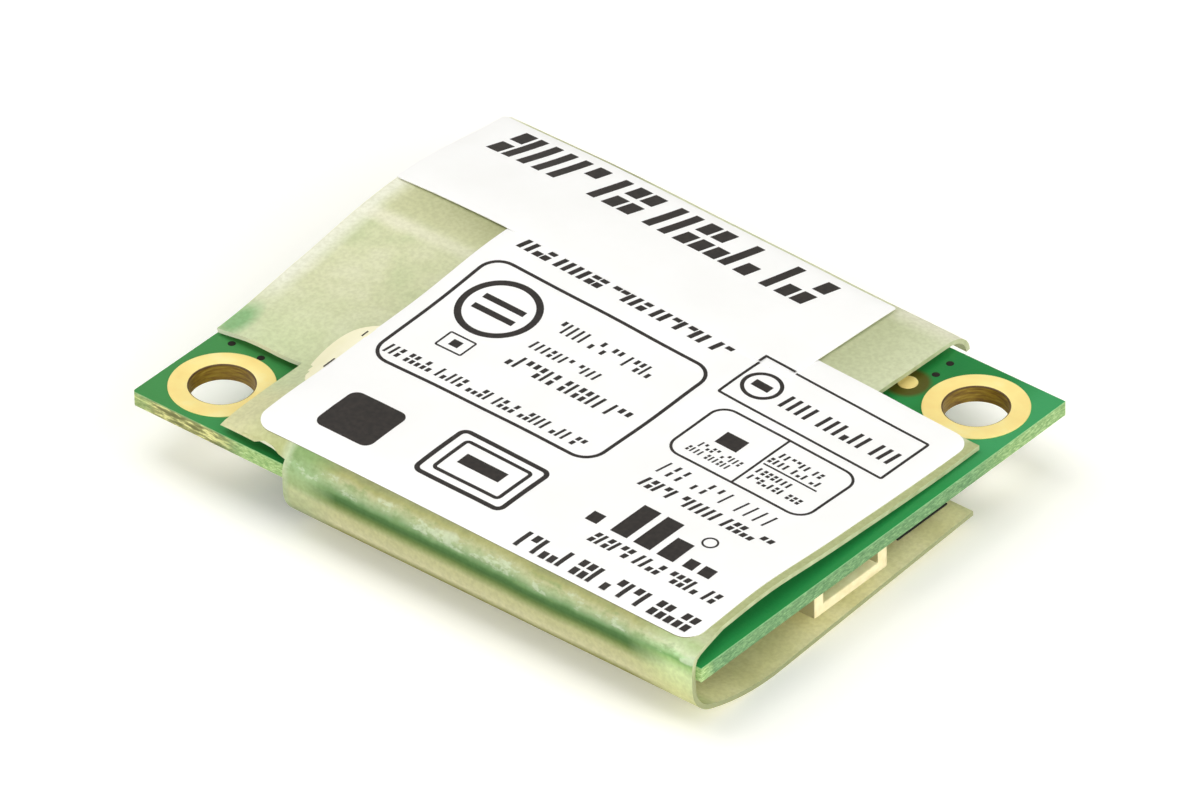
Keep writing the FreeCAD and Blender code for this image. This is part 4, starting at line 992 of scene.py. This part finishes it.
MAIN_FRAMES = [
    (8.0, 7.65, 13.85, 9.5, 1.2, 0.19),
    (22.7, 16.0, 10.0, 3.7, 0.15, 0.14),
    (23.5, 10.95, 8.55, 4.5, 0.95, 0.14),
    (15.55, 2.1, 5.5, 3.95, 0.5, 0.26),
    (16.25, 2.75, 4.15, 2.7, 0.3, 0.2),
    (10.1, 10.2, 1.65, 1.3, 0.12, 0.1),
]
MAIN_RINGS = [(10.85, 14.1, 2.15, 0.36), (24.05, 17.75, 1.05, 0.2), (30.1, 6.6, 0.42, 0.1)]
MAIN_BLOCKS = [
    (9.6, 14.35, 2.5, 0.36), (9.6, 13.5, 2.5, 0.36), (10.65, 10.6, 0.55, 0.5),
    (17.0, 3.8, 2.5, 0.8), (23.55, 17.5, 1.0, 0.5), (25.9, 4.35, 1.0, 2.55),
    (27.3, 4.35, 1.0, 2.55), (28.7, 4.35, 1.0, 1.6), (24.4, 4.3, 0.7, 0.75),
    (30.2, 4.4, 0.6, 0.7), (31.1, 4.4, 0.7, 0.7), (25.1, 12.95, 1.3, 1.0),
]
MAIN_PATCH = (9.6, 2.0, 3.4, 3.1, 0.5)
# The divider of the lower right frame, and a line in it
DIVIDERS = [(27.65, 11.05, 0.12, 4.3), (27.9, 13.12, 3.2, 0.1)]
MAIN_ROWS = [
    (8.35, 18.3, 12.9, 0.92, 0.27, 0.48, 0.2),
    (13.85, 14.55, 6.05, 0.85, 0.13, 0.36, 0.1),
    (13.75, 12.8, 4.2, 0.62, 0.13, 0.36, 0.1),
    (13.65, 11.15, 7.35, 0.95, 0.16, 0.42, 0.1),
    (8.5, 8.3, 12.2, 0.72, 0.14, 0.34, 0.1),
    (25.5, 17.1, 7.1, 1.05, 0.2, 0.48, 0.1),
    (24.7, 12.15, 2.5, 0.42, 0.09, 0.24, 0.05),
    (24.4, 11.6, 2.8, 0.40, 0.09, 0.24, 0.05),
    (28.1, 14.0, 2.6, 0.42, 0.12, 0.3, 0.05),
    (27.9, 13.4, 3.0, 0.42, 0.12, 0.3, 0.05),
    (28.0, 12.4, 2.0, 0.42, 0.12, 0.3, 0.05),
    (28.0, 11.75, 3.3, 0.42, 0.12, 0.3, 0.05),
    (24.5, 9.3, 7.0, 1.0, 0.11, 0.56, 0.15),
    (24.5, 7.95, 8.2, 0.8, 0.18, 0.4, 0.15),
    (25.5, 3.1, 7.6, 0.8, 0.18, 0.4, 0.15),
    (22.9, 0.85, 10.4, 1.1, 0.24, 0.5, 0.15),
]
STRIP_ROWS = [(1.55, 24.1, 20.2, 2.45, 0.5, 0.94, 0.5)]
# The corner of the upper right frame, where the strip covers it
STRIP_BLOCKS = [(22.7, 19.56, 1.87, 0.14), (22.7, 19.11, 0.14, 0.45)]
SEAL_DASHES = [(7.0, 5.75, 0.09, 0.8), (6.9, 8.65, 0.08, 0.45)]


def print_pieces():
    """Plain shapes where the labels have print. None of them is a letter or a sign."""
    top = FILM_THICK + LABEL_THICK
    laid_print("label_frames", top, (frames, MAIN_FRAMES), (blocks, DIVIDERS))
    laid_print("label_bars", top, (print_rows, MAIN_ROWS, 4))
    laid_print("label_signs", top, (rings, MAIN_RINGS), (blocks, MAIN_BLOCKS))
    laid_print("label_patch", top, (rounded_sheet, *MAIN_PATCH))
    laid_print("strip_bars", top + LABEL_THICK, (print_rows, STRIP_ROWS, 9),
               (blocks, STRIP_BLOCKS))
    laid_print("seal_dashes", FILM_THICK + STICKER_THICK, (blocks, SEAL_DASHES))


# Parts under the card

SLOTS = {
    "nylon": "cream_plastic", "gold": "gold_contact", "tin": "tinned_metal",
    "socket": "socket_plastic", "epoxy": "moulded_epoxy", "resin": "tantalum_resin",
    "tan_ceramic": "pale_ceramic", "white_ceramic": "white_ceramic",
    "grey_ceramic": "dark_ceramic",
}
# Each node's material and its broken edge in millimetres
DRESSES = {
    "line_header_housing": ("nylon", 0.08),
    "line_header_pins": ("gold", 0.02),
    "line_header_tabs": ("tin", 0.03),
    "board_connector_housing": ("socket", 0.05),
    "board_connector_contacts": ("gold", 0.02),
    "modem_chip_body": ("epoxy", 0.04),
    "modem_chip_leads": ("tin", 0.02),
    "line_chip_body": ("epoxy", 0.04),
    "line_chip_leads": ("tin", 0.02),
    "bridge_rectifier_body": ("epoxy", 0.05),
    "bridge_rectifier_leads": ("tin", 0.03),
    "surge_suppressor_body": ("epoxy", 0.01),
    "surge_suppressor_leads": ("tin", 0.03),
    "line_transistor_body": ("epoxy", 0.05),
    "line_transistor_leads": ("tin", 0.03),
    "hook_switch_bodies": ("epoxy", 0.04),
    "hook_switch_leads": ("tin", 0.02),
    "isolation_capacitor_bodies": ("tan_ceramic", 0.06),
    "isolation_capacitor_ends": ("tin", 0.08),
    "tantalum_capacitor_bodies": ("resin", 0.06),
    "tantalum_capacitor_ends": ("tin", 0.04),
    "fuse_body": ("white_ceramic", 0.04),
    "fuse_caps": ("tin", 0.12),
    "ferrite_bead_bodies": ("grey_ceramic", 0.05),
    "ferrite_bead_ends": ("tin", 0.06),
    "ceramic_capacitor_bodies": ("tan_ceramic", 0.04),
    "ceramic_capacitor_ends": ("tin", 0.05),
    "resistor_bodies": ("grey_ceramic", 0.03),
    "resistor_ends": ("tin", 0.04),
    "crystal_base": ("tan_ceramic", 0.03),
    "crystal_lid": ("tin", 0.06),
}


def underside_pieces():
    """The CAD's parts with broken edges, and the suppressor's lower edge."""
    for node, (material, bevel) in DRESSES.items():
        dressed(node, material, bevel)
    # The dark line in the photo reaches 0.1 mm lower than the suppressor's solid.
    # It is drawn in the compound painted near black as shade.
    low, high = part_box("surge_suppressor_body")
    shape = bmesh.new()
    size = Vector((0.5 * MM, high.y - low.y - 0.2 * MM, 0.1 * MM))
    spot = Vector((high.x - 0.24 * MM, (low.y + high.y) / 2, low.z - 0.03 * MM))
    bmesh.ops.create_cube(shape, size=1.0, matrix=Matrix.LocRotScale(spot, None, size))
    bmesh.ops.bevel(shape, geom=shape.edges[:], offset=0.01 * MM, offset_type="OFFSET",
                    segments=1, profile=0.5, affect="EDGES", material=-1)
    finish("suppressor_lower_edge", to_mesh(shape, "suppressor_lower_edge"), "shaded_epoxy",
           "moulded_epoxy")


# Scene


def white_paper():
    """The sheet that the module lies on. The camera sees it white; it still takes shadow."""
    material = bpy.data.materials.new("white_paper")
    tree = bare_tree(material)
    matt = add(tree, "ShaderNodeBsdfDiffuse", {"Color": tone("FDFCF6")})
    glow = add(tree, "ShaderNodeEmission", {"Color": tone("FFFFFF"), "Strength": 0.15})
    seen = add(tree, "ShaderNodeLightPath").outputs["Is Camera Ray"]
    none = add(tree, "ShaderNodeEmission", {"Strength": 0.0})
    extra = blended(tree, seen, none, glow)
    shown = add(tree, "ShaderNodeAddShader", {0: matt.outputs[0], 1: extra.outputs[0]})
    add(tree, "ShaderNodeOutputMaterial", {"Surface": shown.outputs[0]})
    return material


def stage_pieces():
    """The paper under the module, at the height of its lowest point."""
    shape = bmesh.new()
    bmesh.ops.create_grid(shape, x_segments=1, y_segments=1, size=1.5,
                          matrix=Matrix.Translation((0, 0, CAD_BOX[0].z)))
    mesh = bpy.data.meshes.new("paper")
    shape.to_mesh(mesh)
    shape.free()
    mesh.materials.append(white_paper())
    in_scene("paper", mesh)


def outward(azimuth, elevation):
    """The way from the module at two angles in radians."""
    level = math.cos(elevation)
    return Vector((math.sin(azimuth) * level, -math.cos(azimuth) * level, math.sin(elevation)))


def soft_light(name, azimuth, elevation, distance, size, power):
    """A square softbox that points at the module."""
    lamp = bpy.data.lights.new(name, "AREA")
    lamp.size = size
    lamp.energy = power
    item = in_scene(name, lamp)
    away = outward(math.radians(azimuth), math.radians(elevation))
    item.location = away * distance
    item.rotation_euler = away.to_track_quat("Z", "Y").to_euler()


def lights():
    """A light tent: a sky that is brightest near the paper, and four softboxes."""
    world = bpy.data.worlds.new("room")
    bpy.context.scene.world = world
    tree = bare_tree(world)
    up = axes(tree, add(tree, "ShaderNodeTexCoord").outputs["Generated"])[2]
    from_top = worked(tree, "SUBTRACT", 1.0, worked(tree, "MAXIMUM", up, 0.0))
    low = worked(tree, "POWER", from_top, 2.0)
    soft = add(tree, "ShaderNodeBackground", {
        "Color": tone("FFFDF8"), "Strength": worked(tree, "MULTIPLY_ADD", low, 0.9, 0.2)})
    seen = add(tree, "ShaderNodeBackground", {"Color": tone("FFFFFF"), "Strength": 1.0})
    path = add(tree, "ShaderNodeLightPath")
    pick = blended(tree, path.outputs["Is Camera Ray"], soft, seen)
    add(tree, "ShaderNodeOutputWorld", {"Surface": pick.outputs[0]})
    soft_light("overhead_softbox", 0, 89, 0.5, 0.35, 0.72)
    soft_light("left_softbox", 285, 55, 0.5, 0.4, 0.85)
    soft_light("right_softbox", 95, 32, 0.5, 0.4, 0.75)
    soft_light("low_softbox", 45, 16, 0.5, 0.4, 1.0)


def camera():
    """The photograph's view: a long lens, turned and tilted as the card's corners ask."""
    azimuth, elevation, roll = (math.radians(angle) for angle in (40.603, 35.809, -1.085))
    back = outward(azimuth, elevation)
    level = Vector((math.cos(azimuth), math.sin(azimuth), 0))
    upright = back.cross(level)
    right = math.cos(roll) * level + math.sin(roll) * upright
    up = -math.sin(roll) * level + math.cos(roll) * upright
    data = bpy.data.cameras.new("photo_view")
    data.lens = 420
    data.sensor_width = 36
    data.clip_start = 0.01
    data.clip_end = 5
    item = in_scene("photo_view", data)
    item.location = (0.3500, -0.4082, 0.3885)
    item.rotation_mode = "QUATERNION"
    item.rotation_quaternion = Matrix((right, up, back)).transposed().to_quaternion()
    bpy.context.scene.camera = item


card_pieces()
film_piece()
label_pieces()
print_pieces()
underside_pieces()
stage_pieces()
lights()
camera()
bpy.context.scene.view_settings.view_transform = "Standard"
